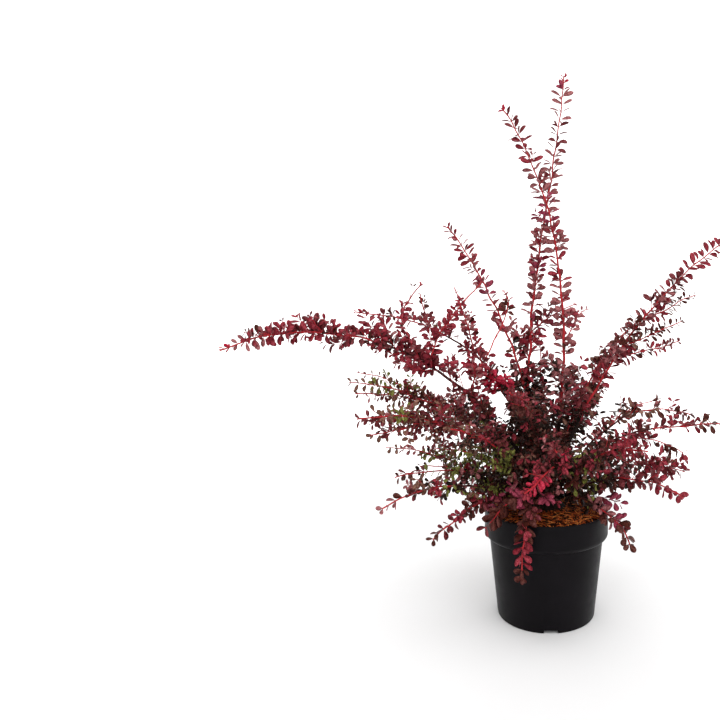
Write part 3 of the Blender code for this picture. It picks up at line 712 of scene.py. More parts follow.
def grow_twigs(cane, lines, first, space):
    """Yield the twigs of a mass: a seeded row of them along its stem and its branches."""
    draw = random.Random(f"{cane.name} twigs")
    for number, line in enumerate(lines):
        start = first if number == 0 else BRANCH_START
        count = int(line.length * (1 - start) / TWIG_SPACING)
        for place in range(count):
            share = start + (1 - start) * (place + 0.6) / (count + 0.5)
            turn = place * GOLDEN_TURN + draw.uniform(-TWIG_TURN, TWIG_TURN)
            reach = cane.twig * (1 - share) ** TWIG_TAPER * (1.0 if number == 0 else BRANCH_TWIG_REACH)
            if reach < TWIG_SHORTEST:
                continue
            centres = grow_twig(draw, line, share, turn, reach, space)
            if len(centres) > 2:
                yield centres


def grow_fine_twig(draw, line, share, turn, reach, space):
    """Return the points of a bent fine twig, as far as it misses the other limbs and the gaps."""
    axis = line.along(share)
    heading = leaning(axis, around(axis, turn), TWIG_SPREAD + draw.uniform(*FINE_SPREADS))
    lift = TWIG_LIFT * draw.uniform(*FINE_LIFTS)
    steps = 3 if reach < FINE_LONG else 5
    centres = [line.at(share)]
    for _ in range(steps):
        bend = np.array([draw.uniform(-FINE_BEND, FINE_BEND) for _ in range(3)])
        heading = unit(heading + bend + UP * (lift / steps))
        after = centres[-1] + heading * reach / steps
        if not space.misses_limbs(after) or in_gap(after, 1.0):
            break
        centres.append(after)
    return centres


def grow_fine_twigs(cane, lines, first, space, spacing):
    """Yield the fine twigs that fill in between the twigs of a mass, within the same reach."""
    draw = random.Random(f"{cane.name} fine twigs")
    for number, line in enumerate(lines):
        start = first if number == 0 else FINE_BRANCH_START
        thinning = 1.0
        if number > 0:
            is_low = line.points[-1][2] < AIRY_FROM + AIRY_RISE
            thinning = LOW_BRANCH_THINNING if is_low else HIGH_BRANCH_THINNING
        count = int(line.length * (1 - start) / (spacing * thinning))
        for place in range(count):
            share = start + (1 - start) * (place + draw.uniform(0.2, 0.8)) / (count + 0.5)
            usual = max(cane.twig, FINE_LOW_REACH if share < FINE_LOW_SHARE else FINE_HIGH_REACH)
            reach = usual * draw.uniform(*FINE_REACHES) * (1 - share) ** FINE_TAPER
            reach *= 1.0 if number == 0 else FINE_BRANCH_REACH
            turn = place * GOLDEN_TURN + draw.uniform(-FINE_TURN, FINE_TURN)
            reach *= 1 + UPWARD_REACHES.get(cane.name, FINE_UPWARD) * cos(radians(turn))
            if reach < FINE_SHORTEST:
                continue
            centres = grow_fine_twig(draw, line, share, turn, reach, space)
            if len(centres) > 2:
                yield centres


# One length of wood: its cane, its points and radii and its rank
Shoot = namedtuple("Shoot", "cane points radii rank")


def twig_shoot(cane, points, foot, loss):
    """Return a twig's length of wood, which gets thinner with each of its points."""
    return Shoot(cane, points, [TWIG_RADIUS * (foot - loss * k) for k in range(len(points))], "twig")


def grow_plant(spacing):
    """Return every shoot of the plant, by the rule that the solids follow and on to finer twigs."""
    noise.seed_set(SWAY_SEED)
    lines = {cane.name: cane_line(cane) for cane in CANES}
    branches = {cane.name: [] for cane in CANES}
    for branch in BRANCHES:
        branches[branch.parent].append(line_of(branch, lines[branch.parent].at(branch.at)))
    shoots = []
    for cane in CANES:
        line = lines[cane.name]
        rows = [line, *branches[cane.name]]
        first = cane.bare or (STUB_LENGTH + SEAT) / line.length
        own = [line.at(share) for share in np.linspace(first, 1.0, OWN_SAMPLES)]
        own += [point for row in rows[1:] for point in row.points]
        others = [line.at(share) for share in np.linspace(0.0, first, BARE_SAMPLES)]
        for name, other in lines.items():
            if name != cane.name:
                others += [point for row in (other, *branches[name]) for point in row.points]
        space = Space(own, others)
        for rank, start, end in (("bough", 0.0, first), ("stem", first, 1.0)):
            shares = np.linspace(start, end, max(3, int(line.length * (end - start) / STEM_STEP)))
            radii = [max(cane_radius(line, share), THINNEST_STEM) for share in shares]
            shoots.append(Shoot(cane, [line.at(share) for share in shares], radii, rank))
        for branch in rows[1:]:
            shares = np.linspace(0.0, 1.0, max(5, int(branch.length / BRANCH_STEP)))
            radii = [BRANCH_RADIUS * (BRANCH_TAPER[0] - BRANCH_TAPER[1] * share) for share in shares]
            shoots.append(Shoot(cane, [branch.at(share) for share in shares], radii, "branch"))
        for points in grow_twigs(cane, rows, first + TWIGS_FROM, space):
            points.insert(1, (points[0] + points[1]) / 2)
            shoots.append(twig_shoot(cane, points, *TWIG_STEP_TAPER))
        leafy = max(FINE_TWIGS_FROM, first * FINE_TWIGS_SHARE)
        for points in grow_fine_twigs(cane, rows, leafy, space, spacing / habit_of(cane).twigs):
            shoots.append(twig_shoot(cane, points, *FINE_STEP_TAPER))
    return [shoot._replace(points=[swayed(point) for point in shoot.points]) for shoot in shoots]


def swayed(point):
    """Return a point moved a little by a smooth field, which bends every shoot and keeps them joined."""
    return point + np.array(noise.noise_vector(Vector(point) / SWAY_LENGTH)) * SWAY


def habit_of(cane):
    """Return how a cane grows."""
    return HABITS.get(cane.name, Habit())


def deal(draw, palette):
    """Return one name from a palette of names and their weights."""
    return draw.choices(list(palette), list(palette.values()))[0]


def depth_in_crown(point):
    """Return how deep a point lies in the crown: 1 and over in its middle, 0 and under outside."""
    outward = np.hypot(point[0] - DENSE_AXIS_X, point[1]) / DENSE_REACH
    return DENSE_DEPTH - outward - max(0.0, point[2] - DENSE_TOP) / DENSE_RISE


def palette_of(cane, radius):
    """Return the palette of a cane's leaves at a distance from the pot's axis."""
    before = CRIMSON_FROM.get(cane.name, 0.0) - radius / cane.reach
    if before > REDDENING:
        return PALETTES["maroon"]
    if before > 0.0:
        return PALETTES["ruby"]
    if cane.tint == "olive" and radius > OLIVE_REACH:
        return PALETTES["bronze"]
    return PALETTES[cane.tint]


def is_shaded(draw, root):
    """Tell whether an inner leaf is shaded to green: by its place, and there by a draw."""
    low, high = SHADED_HEIGHTS
    return root[1] > SHADED_FROM_Y and low < root[2] < high and any(
        start < root[0] < end and draw.random() < share for start, end, share in SHADED)


# One leaf: its root, direction, the way its upper side faces, its length, how broad it is, how far it
# rolls about its length (radians) and its tint
Leaf = namedtuple("Leaf", "root direction face length broad roll tint")


def leaves_of(shoot, number, settings):
    """Yield the leaves of the rosettes along a shoot, smaller and single towards its tip."""
    draw = random.Random(f"{shoot.cane.name} {number} leaves")
    points = np.array(shoot.points)
    lengths = lengths_along(points)
    total = lengths[-1]
    habit = habit_of(shoot.cane)
    spacing = settings.node_spacing * RANK_SPACINGS[shoot.rank] * habit.spacing
    longest = settings.longest * RANK_SIZES[shoot.rank] * habit.leaf
    turn = draw.uniform(0, 360)
    place = spacing * draw.uniform(0.3, 0.7)
    node = 0
    while place < total:
        root = point_along(points, lengths, place)
        segment = min(int(np.searchsorted(lengths, place, side="right")), len(points) - 1)
        axis = unit(points[segment] - points[segment - 1])
        radius = np.hypot(root[0], root[1])
        airy = min(1.0, max(0.0, (root[2] - AIRY_FROM) / AIRY_RISE))
        youth = max(0.0, 1 - (total - place) / TIP_LENGTHS[shoot.rank])
        youth = youth * (LOW_TIP_YOUTH + (1 - LOW_TIP_YOUTH) * airy) * habit.young
        if node % SPRAY_NODES == 0:
            spray_tint = deal(draw, palette_of(shoot.cane, radius))
        # A leaf deep in the crown is dealt a dark tint as painted shade, by a draw that grows with its depth
        inner = draw.random() < depth_in_crown(root) and spray_tint not in ("crimson", "olive") and not (
            shoot.cane.tint == "plum" and radius > PLUM_INNER_REACH)
        tint = spray_tint
        if youth > TIP_TINT_YOUTH and shoot.rank != "twig":
            tint = deal(draw, TIP_PALETTE)
        elif inner:
            tint = deal(draw, SHADE_PALETTE if is_shaded(draw, root) else PAINTED_SHADE_PALETTE)
        shrink = AIRY_BRANCH_SHRINK if shoot.rank == "branch" and airy > 0.5 else habit.shrink
        vigour = (1 - shrink * place / total) * (1 - YOUNG_SHRINK * youth) * (INNER_SIZE if inner else 1.0)
        rosette = int(habit.rosette + draw.random() * ROSETTE_SPREAD * (1 - youth))
        outward = root * LEVEL / max(radius, 0.02)
        face = np.array(LOW_FACE) * (1 - airy) + np.array(HIGH_FACE) * airy
        face = face + outward * draw.uniform(0.0, OUTWARD_FACE)
        for leaf in range(rosette):
            side = around(axis, turn + leaf * 360 / rosette + draw.uniform(-LEAF_TURN, LEAF_TURN))
            side = unit(side * (1.0, 1 - HIGH_FLATTENING * airy, 1.0))
            least, most = (low + (high - low) * airy for low, high in zip(LOW_SPREAD, HIGH_SPREAD))
            spread = draw.uniform(least, most) * (1 - YOUNG_SPREAD_LOSS * youth)
            rise = draw.uniform(-LEAF_RISE, LEAF_RISE) - LOW_DROOP * (1 - airy) + HIGH_LIFT * airy
            direction = unit(leaning(axis, side, spread) + UP * rise)
            length = longest * vigour * draw.uniform(*LEAF_LENGTHS)
            if not clear_of_pot(root + direction * length):
                direction = unit(direction * LEVEL + UP * 0.5)
            if in_gap(root + direction * length * 0.6, draw.uniform(*GAP_EDGES)):
                continue
            if clear_of_pot(root + direction * length) and clear_of_pot(root):
                roll = draw.uniform(-1.0, 1.0) * (1 - HIGH_ROLL_LOSS * airy)
                yield Leaf(root, direction, face, length, habit.broad, roll, tint)
        turn += GOLDEN_TURN
        place += spacing * (1 - YOUNG_SPACING_LOSS * youth)
        node += 1


def link(made):
    """Put an object in the scene."""
    bpy.context.scene.collection.objects.link(made)
    return made


def piece_of(name, mesh):
    """Put a mesh in the scene as an object of its own."""
    return link(bpy.data.objects.new(name, mesh))


def make_mesh(name, vertices, faces, edges=()):
    """Make a mesh object from lists of points, faces and loose edges."""
    mesh = bpy.data.meshes.new(name)
    mesh.from_pydata([tuple(point) for point in vertices], edges, faces)
    mesh.update()
    return piece_of(name, mesh)


def carry(mesh, name, domain, values):
    """Let a mesh carry a row of numbers under a name."""
    mesh.attributes.new(name, "FLOAT", domain).data.foreach_set("value", values)


def seat(piece, slot, *nodes):
    """Let a finished piece ride on the plant and stand for its nodes; its slot is not used."""
    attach(piece, "root")
    if nodes:
        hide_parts(*nodes)


def turned(name, profile, sides):
    """Turn a closed profile of (radius, height) points, outer side first, about the Z axis."""
    vertices = []
    rings = []
    for radius, height in profile:
        count = sides if radius else 1
        rings.append(range(len(vertices), len(vertices) + count))
        for side in range(count):
            angle = 2 * pi * side / sides
            vertices.append((radius * cos(angle), radius * sin(angle), height))
    faces = []
    for lower, upper in zip(rings, rings[1:]):
        for side in range(sides):
            after = (side + 1) % sides
            corners = (lower[side % len(lower)], lower[after % len(lower)],
                       upper[after % len(upper)], upper[side % len(upper)])
            faces.append(tuple(dict.fromkeys(corners)))
    return make_mesh(name, vertices, faces)


def arc(centre_radius, centre_height, radius, start, end, steps):
    """Return profile points on an arc, with angles in degrees from the outward direction."""
    angles = [radians(start + (end - start) * step / steps) for step in range(steps + 1)]
    return [(centre_radius + radius * cos(a), centre_height + radius * sin(a)) for a in angles]


class Nodes:
    """A node tree under construction."""

    def __init__(self, tree):
        self.tree = tree

    def add(self, kind, inputs=None, **settings):
        """Add a node, set its properties and fill its inputs with values or other nodes' outputs."""
        node = self.tree.nodes.new(kind)
        for key, value in settings.items():
            setattr(node, key, value)
        for key, value in (inputs or {}).items():
            if isinstance(value, bpy.types.NodeSocket):
                self.tree.links.new(value, node.inputs[key])
            else:
                node.inputs[key].default_value = value
        return node


class Shader(Nodes):
    """A node material under construction, with its Principled shader."""

    def __init__(self, name, colour, roughness, specular=0.5):
        self.material = bpy.data.materials.new(name)
        self.material.use_nodes = True
        self.material.diffuse_color = (*colour, 1.0)
        super().__init__(self.material.node_tree)
        self.shader = self.tree.nodes["Principled BSDF"]
        self.shader.inputs["Base Color"].default_value = (*colour, 1.0)
        self.shader.inputs["Roughness"].default_value = roughness
        self.shader.inputs["Specular IOR Level"].default_value = specular

    def noise(self, scale, detail=2.0, roughness=0.5, stretch=None):
        """Return a noise on the object's own coordinates, stretched if asked."""
        place = self.add("ShaderNodeTexCoord").outputs["Object"]
        if stretch:
            place = self.add("ShaderNodeMapping", {"Vector": place, "Scale": stretch}).outputs["Vector"]
        made = self.add("ShaderNodeTexNoise",
                        {"Vector": place, "Scale": scale, "Detail": detail, "Roughness": roughness})
        return made.outputs["Fac"]

    def remap(self, value, low, high, start=0.0, end=1.0):
        """Return a value mapped from one range to another and held inside it."""
        made = self.add("ShaderNodeMapRange",
                        {"Value": value, "From Min": low, "From Max": high, "To Min": start, "To Max": end})
        return made.outputs["Result"]

    def mix(self, share, first, second):
        """Return a blend of two colours, which are tuples or outputs."""
        first, second = ((*value, 1.0) if isinstance(value, tuple) else value for value in (first, second))
        return self.add("ShaderNodeMix", {0: share, 6: first, 7: second}, data_type="RGBA").outputs[2]

    def attribute(self, name):
        """Return a number that the mesh carries under this name."""
        return self.add("ShaderNodeAttribute", attribute_name=name).outputs["Fac"]

    def wire(self, output, socket):
        """Feed an output into one of the shader's sockets."""
        self.tree.links.new(output, self.shader.inputs[socket])

    def bump(self, height, strength, distance):
        """Roughen the surface by a height."""
        made = self.add("ShaderNodeBump", {"Height": height, "Strength": strength, "Distance": distance})
        self.wire(made.outputs["Normal"], "Normal")


def scaled(colour, factor):
    """Return a colour made darker or lighter."""
    return tuple(min(1.0, channel * factor) for channel in colour[:3])


def tinged(colour, factor, share, tinge):
    """Return a share of a colour made lighter, with a little of another colour added."""
    return tuple(share * channel + added for channel, added in zip(scaled(colour, factor), tinge))


def pot_plastic(settings):
    """Satin black moulded plastic with a fine grain and faint scuffs."""
    colour = tuple(settings.colour)
    dull = settings.roughness
    made = Shader("pot_plastic_satin", colour, dull, specular=0.08)
    haze = made.remap(made.noise(14.0, 4.0, 0.6), 0.35, 0.70)
    made.wire(made.mix(haze, colour, scaled(colour, 1.7)), "Base Color")
    scuffs = made.remap(made.noise(60.0, 4.0, 0.7), 0.3, 0.7, dull - 0.06, dull + 0.08)
    made.wire(scuffs, "Roughness")
    made.bump(made.noise(1400.0, 2.0), 0.10, 0.0002)
    return made.material


def fibre(name, colour):
    """Wood fibre with darker streaks."""
    made = Shader(name, colour, 0.85, specular=0.10)
    streak = made.remap(made.noise(260.0, 3.0, 0.6), 0.35, 0.65)
    made.wire(made.mix(streak, scaled(colour, 0.45), scaled(colour, 1.25)), "Base Color")
    made.bump(made.noise(900.0, 2.0), 0.4, 0.0004)
    return made.material


def bark(name, dark, light, roughness):
    """Bark with pale ridges that run up the limbs."""
    made = Shader(name, dark, roughness, specular=0.15)
    ridge = made.remap(made.noise(420.0, 4.0, 0.6, stretch=(1.0, 1.0, 0.28)), 0.42, 0.68)
    made.wire(made.mix(ridge, dark, light), "Base Color")
    made.bump(made.noise(700.0, 3.0, 0.6, stretch=(1.0, 1.0, 0.3)), 0.5, 0.0005)
    return made.material


def leaf_skin(name, colour):
    """A satin leaf: mottled, paler under its blade and reddened along its margin, with painted light: a
    darker and a brighter copy of its colour, the brighter one with a painted grey-pink highlight.
    """
    made = Shader(name, colour, 0.42, specular=0.08)
    mottle = made.remap(made.noise(380.0, 3.0, 0.65), 0.40, 0.60)
    # Painted light and shade: a number on each corner mixes a darker copy of the colour with a brighter one
    # that carries a painted grey-pink highlight; the mottle breaks both up
    dull = made.mix(mottle, scaled(colour, 0.35), scaled(colour, 1.15))
    bright = made.mix(mottle, scaled(colour, 1.0), tuple(min(0.62, 1.8 * c + 0.045) for c in colour))
    upper = made.mix(made.attribute("shade"), dull, bright)
    margin = made.remap(made.attribute("rim"), 0.72, 1.0, 0.0, 0.6)
    upper = made.mix(margin, upper, tinged(colour, 1.6, 0.7, (0.10, 0.008, 0.016)))
    under = made.remap(made.attribute("under"), 0.0, 1.0, 0.0, 0.7)
    both = made.mix(under, upper, tinged(colour, 1.5, 0.75, (0.025, 0.008, 0.010)))
    made.wire(both, "Base Color")
    made.bump(made.noise(650.0, 2.0), 0.25, 0.0004)
    return made.material


class Tree(Nodes):
    """A geometry node tree under construction."""

    def __init__(self, name, inputs):
        super().__init__(bpy.data.node_groups.new(name, "GeometryNodeTree"))
        self.tree.interface.new_socket("Geometry", in_out="INPUT", socket_type="NodeSocketGeometry")
        self.tree.interface.new_socket("Geometry", in_out="OUTPUT", socket_type="NodeSocketGeometry")
        for title, kind in inputs.items():
            self.tree.interface.new_socket(title, in_out="INPUT", socket_type=f"NodeSocket{kind}")
        self.given = self.tree.nodes.new("NodeGroupInput").outputs
        self.result = self.tree.nodes.new("NodeGroupOutput")

    def reckon(self, operation, first, second):
        """Return the result of an arithmetic operation on two numbers."""
        return self.add("ShaderNodeMath", {0: first, 1: second}, operation=operation).outputs[0]

    def random_vector(self, low, high):
        """Return a random vector between two corners, drawn with the given seed."""
        made = self.add("FunctionNodeRandomValue", {0: low, 1: high, "Seed": self.given["Seed"]},
                        data_type="FLOAT_VECTOR")
        return made.outputs["Value"]

    def end(self, geometry):
        """Realize the result, give it its material and close the tree."""
        real = self.add("GeometryNodeRealizeInstances", {"Geometry": geometry})
        finish = self.add("GeometryNodeSetMaterial",
                          {"Geometry": real.outputs[0], "Material": self.given["Material"]})
        self.tree.links.new(finish.outputs[0], self.result.inputs[0])
        return self.tree


def limb_tree():
    """The tree that turns paths of wood into ridged tubes."""
    made = Tree("Limbs", {"Sides": "Int", "Relief": "Float", "Grain": "Float", "Material": "Material"})
    given = made.given
    path = made.add("GeometryNodeMeshToCurve", {"Mesh": given["Geometry"]})
    named = made.add("GeometryNodeInputNamedAttribute", {"Name": "thickness"}, data_type="FLOAT")
    thickness = named.outputs["Attribute"]
    profile = made.add("GeometryNodeCurvePrimitiveCircle", {"Resolution": given["Sides"], "Radius": 1.0})
    tube = made.add("GeometryNodeCurveToMesh", {
        "Curve": path.outputs[0], "Profile Curve": profile.outputs[0],
        "Scale": thickness, "Fill Caps": True})
    grain = made.add("ShaderNodeTexNoise", {"Scale": given["Grain"], "Detail": 2.0})
    centred = made.reckon("SUBTRACT", grain.outputs[0], 0.5)
    depth = made.reckon("MULTIPLY", made.reckon("MULTIPLY", centred, given["Relief"]), thickness)
    normal = made.add("GeometryNodeInputNormal")
    push = made.add("ShaderNodeVectorMath", {0: normal.outputs[0], "Scale": depth}, operation="SCALE")
    ridged = made.add("GeometryNodeSetPosition", {"Geometry": tube.outputs[0], "Offset": push.outputs[0]})
    smooth = made.add("GeometryNodeSetShadeSmooth", {"Geometry": ridged.outputs[0], "Shade Smooth": True})
    return made.end(smooth.outputs[0])


def scatter_tree():
    """The tree that strews chips over a bed, lying flat and turned every way."""
    made = Tree("Chips", {"Chip": "Object", "Density": "Float", "Seed": "Int", "Material": "Material"})
    given = made.given
    spots = made.add("GeometryNodeDistributePointsOnFaces", {
        "Mesh": given["Geometry"], "Density": given["Density"], "Seed": given["Seed"]})
    chip = made.add("GeometryNodeObjectInfo", {"Object": given["Chip"]})
    laid = made.add("GeometryNodeInstanceOnPoints", {
        "Points": spots.outputs["Points"], "Instance": chip.outputs["Geometry"],
        "Rotation": made.random_vector((-CHIP_TILT, -CHIP_TILT, 0.0), (CHIP_TILT, CHIP_TILT, 2 * pi)),
        "Scale": made.random_vector(*CHIP_SIZES)})
    return made.end(laid.outputs[0])


def run_tree(source, name, tree, values):
    """Run a node tree on an object and return its result as a plain mesh object."""
    modifier = source.modifiers.new("growth", "NODES")
    modifier.node_group = tree
    identifiers = {item.name: item.identifier for item in tree.interface.items_tree if item.in_out == "INPUT"}
    for title, value in values.items():
        modifier[identifiers[title]] = value
    graph = bpy.context.evaluated_depsgraph_get()
    mesh = bpy.data.meshes.new_from_object(source.evaluated_get(graph))
    source.modifiers.remove(modifier)
    bpy.data.objects.remove(source)
    mesh.name = name
    return piece_of(name, mesh)


def paths_object(paths):
    """Make a mesh of open paths, each a row of points with a thickness at each."""
    points = []
    edges = []
    thickness = []
    for centres, radii in paths:
        start = len(points)
        points += centres
        thickness += radii
        edges += [(start + k, start + k + 1) for k in range(len(centres) - 1)]
    made = make_mesh("paths", points, [], edges)
    carry(made.data, "thickness", "POINT", thickness)
    return made


class BARBERRY_OT_pot(bpy.types.Operator):
    """Make the pot's moulded shell with its collar, lip and drain channels"""

    bl_idname = "barberry.pot"
    bl_label = "Pot"

    def execute(self, context):
        settings = context.scene.barberry_pot
        shell = turned("pot_shell", self.profile(settings), settings.sides)
        context.view_layer.objects.active = shell
        for number in range(CHANNEL_COUNT):
            self.cut_channel(shell, CHANNEL_TURN - 90 + 360 * number / CHANNEL_COUNT)
        shell.data.shade_smooth()
        shell.data.set_sharp_from_angle(angle=radians(35))
        shell.data.materials.append(pot_plastic(settings))
        seat(shell, "pot_plastic", "pot")
        return {"FINISHED"}

    def profile(self, settings):
        """Return the shell's profile, from the middle of its underside up the outside and back inside."""
        lip = settings.lip
        return [
            (0.0, 0.0),
            *arc(BODY_BASE_RADIUS - HEEL_RADIUS, HEEL_RADIUS, HEEL_RADIUS, -90, -6, 5),
            (BODY_TOP_RADIUS - WALL_SETBACK, COLLAR_BOTTOM - CREASE_START),
            *((BODY_TOP_RADIUS - settings.crease * share, COLLAR_BOTTOM - depth) for share, depth in CREASE),
            *arc(RIM_RADIUS - COLLAR_CORNER, COLLAR_BOTTOM + COLLAR_CORNER, COLLAR_CORNER, -72, 0, 8),
            (RIM_RADIUS - COLLAR_SETBACK, POT_HEIGHT - COLLAR_TOP_DEPTH),
            *arc(RIM_RADIUS - lip / 2, POT_HEIGHT - lip / 2, lip / 2, 0, 180, 6),
            (RIM_RADIUS - lip, COLLAR_BOTTOM + COLLAR_CORNER),
            (BODY_TOP_RADIUS - lip, COLLAR_BOTTOM + lip),
            (BODY_BASE_RADIUS - lip, CHANNEL_HEIGHT + lip),
            (0.0, CHANNEL_HEIGHT + lip),
        ]

    def cut_channel(self, shell, turn):
        """Cut a drain channel with sloping sides out of the shell's underside."""
        outward = ray(turn, 0)
        across = ray(turn + 90, 0)
        vertices = []
        for distance in (CHANNEL_INNER_RADIUS, BODY_BASE_RADIUS * CHANNEL_OUTER_SHARE):
            for half, height in ((CHANNEL_WIDTH / 2, -CHANNEL_HEIGHT),
                                 (CHANNEL_WIDTH * CHANNEL_TOP_HALF, CHANNEL_HEIGHT)):
                for side in (-1, 1):
                    vertices.append(outward * distance + across * side * half + UP * height)
        faces = [(0, 2, 3, 1), (4, 5, 7, 6), (0, 1, 5, 4), (2, 6, 7, 3), (1, 3, 7, 5), (0, 4, 6, 2)]
        cutter = make_mesh("channel", vertices, faces)
        cut = shell.modifiers.new("channel", "BOOLEAN")
        cut.operation = "DIFFERENCE"
        cut.object = cutter
        bpy.ops.object.modifier_apply(modifier=cut.name)
        bpy.data.objects.remove(cutter)


class BARBERRY_OT_mulch(bpy.types.Operator):
    """Make the mulch: a lumpy bed and three colours of loose wood fibre"""

    bl_idname = "barberry.mulch"
    bl_label = "Mulch"

    def execute(self, context):
        settings = context.scene.barberry_mulch
        bed = self.make_bed()
        chip = self.make_chip(settings)
        corners = [vertex.co.copy() for vertex in bed.data.vertices]
        strewn = BED_EDGE - settings.chip_length * 0.5
        top = [tuple(face.vertices) for face in bed.data.polygons
               if face.center.z > BED_TOP and face.center.xy.length < strewn]
        for number, name in enumerate(("dark", "rust", "straw")):
            chips = run_tree(make_mesh("ground", corners, top), f"mulch_{name}", scatter_tree(), {
                "Chip": chip, "Density": settings.chips * (STRAW_SHARE if name == "straw" else 1.0),
                "Seed": number + CHIP_SEED, "Material": fibre(f"fibre_{name}", getattr(settings, name))})
            seat(chips, "wood_fibre", "growing_medium")
        bpy.data.objects.remove(chip)
        bed.data.materials.append(fibre("fibre_bed", scaled(settings.dark, 0.8)))
        seat(bed, "wood_fibre", "growing_medium")
        return {"FINISHED"}

    def make_bed(self):
        """Make the domed, lumpy bed that fills the pot."""
        profile = list(BED_PROFILE)
        for ring in range(BED_RINGS + 1):
            share = ring / BED_RINGS
            rise = (MEDIUM_CROWN_HEIGHT - MEDIUM_EDGE_HEIGHT) * sin(min(1.0, share * BED_DOME) * pi / 2)
            profile.append((BED_EDGE * (1 - share), MEDIUM_EDGE_HEIGHT - BED_SINK + rise))
        bed = turned("mulch_bed", profile, BED_SIDES)
        draw = random.Random("mulch")
        for vertex in bed.data.vertices:
            if vertex.co.z > BED_TOP:
                vertex.co.z += draw.uniform(-BED_LUMP, BED_LUMP)
        return bed

    def make_chip(self, settings):
        """Make one bent, ragged splinter that lies along X, centred just over the origin."""
        half = settings.chip_length / 2
        wide = settings.chip_width / 2
        vertices = []
        for place, width, rise in CHIP_RINGS:
            centre = np.array((place * half, 0.25 * wide * place * place, settings.chip_width * (0.4 + rise)))
            for across, up in CHIP_CORNERS:
                vertices.append(centre + np.array((0.0, across * wide * width, up * wide * width * 1.4)))
        faces = [(3, 2, 1, 0), (12, 13, 14, 15)]
        for low in (0, 4, 8):
            for side in range(4):
                after = (side + 1) % 4
                faces.append((low + side, low + after, low + 4 + after, low + 4 + side))
        return make_mesh("chip", vertices, faces)


class BARBERRY_OT_wood(bpy.types.Operator):
    """Make the basal stem, the old boughs, the stems and the red shoots"""

    bl_idname = "barberry.wood"
    bl_label = "Wood"

    def execute(self, context):
        settings = context.scene.barberry_wood
        shoots = grow_plant(context.scene.barberry_leaf.twig_spacing)
        old = bark("bark_old", tuple(settings.old), tuple(settings.ridge), 0.85)
        stem = bark("bark_stem", tuple(settings.stem), scaled(settings.stem, 1.9), 0.6)
        young = bark("bark_shoot", tuple(settings.shoot), scaled(settings.shoot, 1.5), 0.5)
        self.make_basal_stem(settings, old)
        tree = limb_tree()
        boughs = [(shoot.points, shoot.radii) for shoot in shoots if shoot.rank == "bough"]
        lower, upper = self.by_age_and_shade(shoots)
        upper += self.spines(shoots, settings)
        thick = {"Sides": BOUGH_SIDES, "Relief": settings.relief * 2, "Grain": BOUGH_GRAIN}
        thin = {"Sides": SHOOT_SIDES, "Relief": settings.relief, "Grain": SHOOT_GRAIN}
        for name, paths, finish, sizes, nodes in (
                ("boughs_bark", boughs, old, thick, BOUGH_NODES),
                ("stems", lower, stem, thin, FOLIAGE_NODES),
                ("shoots", upper, young, thin, FOLIAGE_NODES)):
            piece = run_tree(paths_object(paths), name, tree, {**sizes, "Material": finish})
            seat(piece, "bark", *nodes)
        return {"FINISHED"}

    def by_age_and_shade(self, shoots):
        """Return the paths of last year's stems and of the twigs deep in the crown, which take the dark stem
        bark as painted shade, and those of the red young shoots.
        """
        lower = []
        upper = []
        for shoot in shoots:
            if shoot.rank == "bough":
                continue
            if shoot.rank == "stem" and shoot.cane.ring != "top":
                split = int(len(shoot.points) * OLD_STEM_SHARE)
                lower.append((shoot.points[:split + 1], shoot.radii[:split + 1]))
                upper.append((shoot.points[split:], shoot.radii[split:]))
            # Twigs deep in the crown take the dark stem bark: painted shade
            elif shoot.rank == "twig" and depth_in_crown(shoot.points[1]) > SHADED_TWIG_DEPTH:
                lower.append((shoot.points, shoot.radii))
            else:
                upper.append((shoot.points, shoot.radii))
        return lower, upper

    def make_basal_stem(self, settings, finish):
        """Make the flared crown with ridged bark."""
        foot = MEDIUM_CROWN_HEIGHT - CROWN_SINK
        profile = [(0.0, foot)]
        for ring in range(CROWN_RINGS):
            share = ring / (CROWN_RINGS - 1)
            flare = FLARE_RADIUS - (FLARE_RADIUS - CROWN_RADIUS) * min(1.0, share / FLARE_SHARE) ** 0.5
            dome = cos(max(0.0, share - DOME_FROM) / (1 - DOME_FROM) * pi / 2) ** DOME_FULLNESS
            profile.append((max(flare * dome, 0.002), foot + CROWN_HEIGHT * share))
        profile.append((0.0, foot + CROWN_HEIGHT))
        crown = turned("basal_stem_bark", profile, CROWN_SIDES)
        draw = random.Random("basal stem")
        waves = [(draw.randint(5, 13), draw.uniform(0, 2 * pi), draw.uniform(30, 90)) for _ in range(RIPPLES)]
        for vertex in crown.data.vertices:
            if np.hypot(vertex.co.x, vertex.co.y) < 0.003:
                continue
            angle = np.arctan2(vertex.co.y, vertex.co.x)
            ripple = sum(sin(count * angle + phase + vertex.co.z * climb) for count, phase, climb in waves)
            factor = 1 + settings.relief * RIPPLE_SHARE * (ripple / RIPPLES)
            vertex.co.x *= factor
            vertex.co.y *= factor
        crown.data.shade_smooth()
        crown.data.materials.append(finish)
        seat(crown, "bark", "basal_stem")

    def spines(self, shoots, settings):
        """Yield the paths of thin spines at every third point of the stems and branches."""
        draw = random.Random("spines")
        for shoot in shoots:
            if shoot.rank not in ("stem", "branch"):
                continue
            turn = draw.uniform(0, 360)
            for place in range(2, len(shoot.points) - 1, SPINE_POINTS):
                turn += GOLDEN_TURN
                start = shoot.points[place]
                axis = unit(start - shoot.points[place - 1])
                heading = unit(around(axis, turn) + axis * SPINE_LEAN)
                length = settings.spine * draw.uniform(*SPINE_LENGTHS)
                centres = [start, start + heading * length * 0.5, start + heading * length]
                yield centres, SPINE_RADII


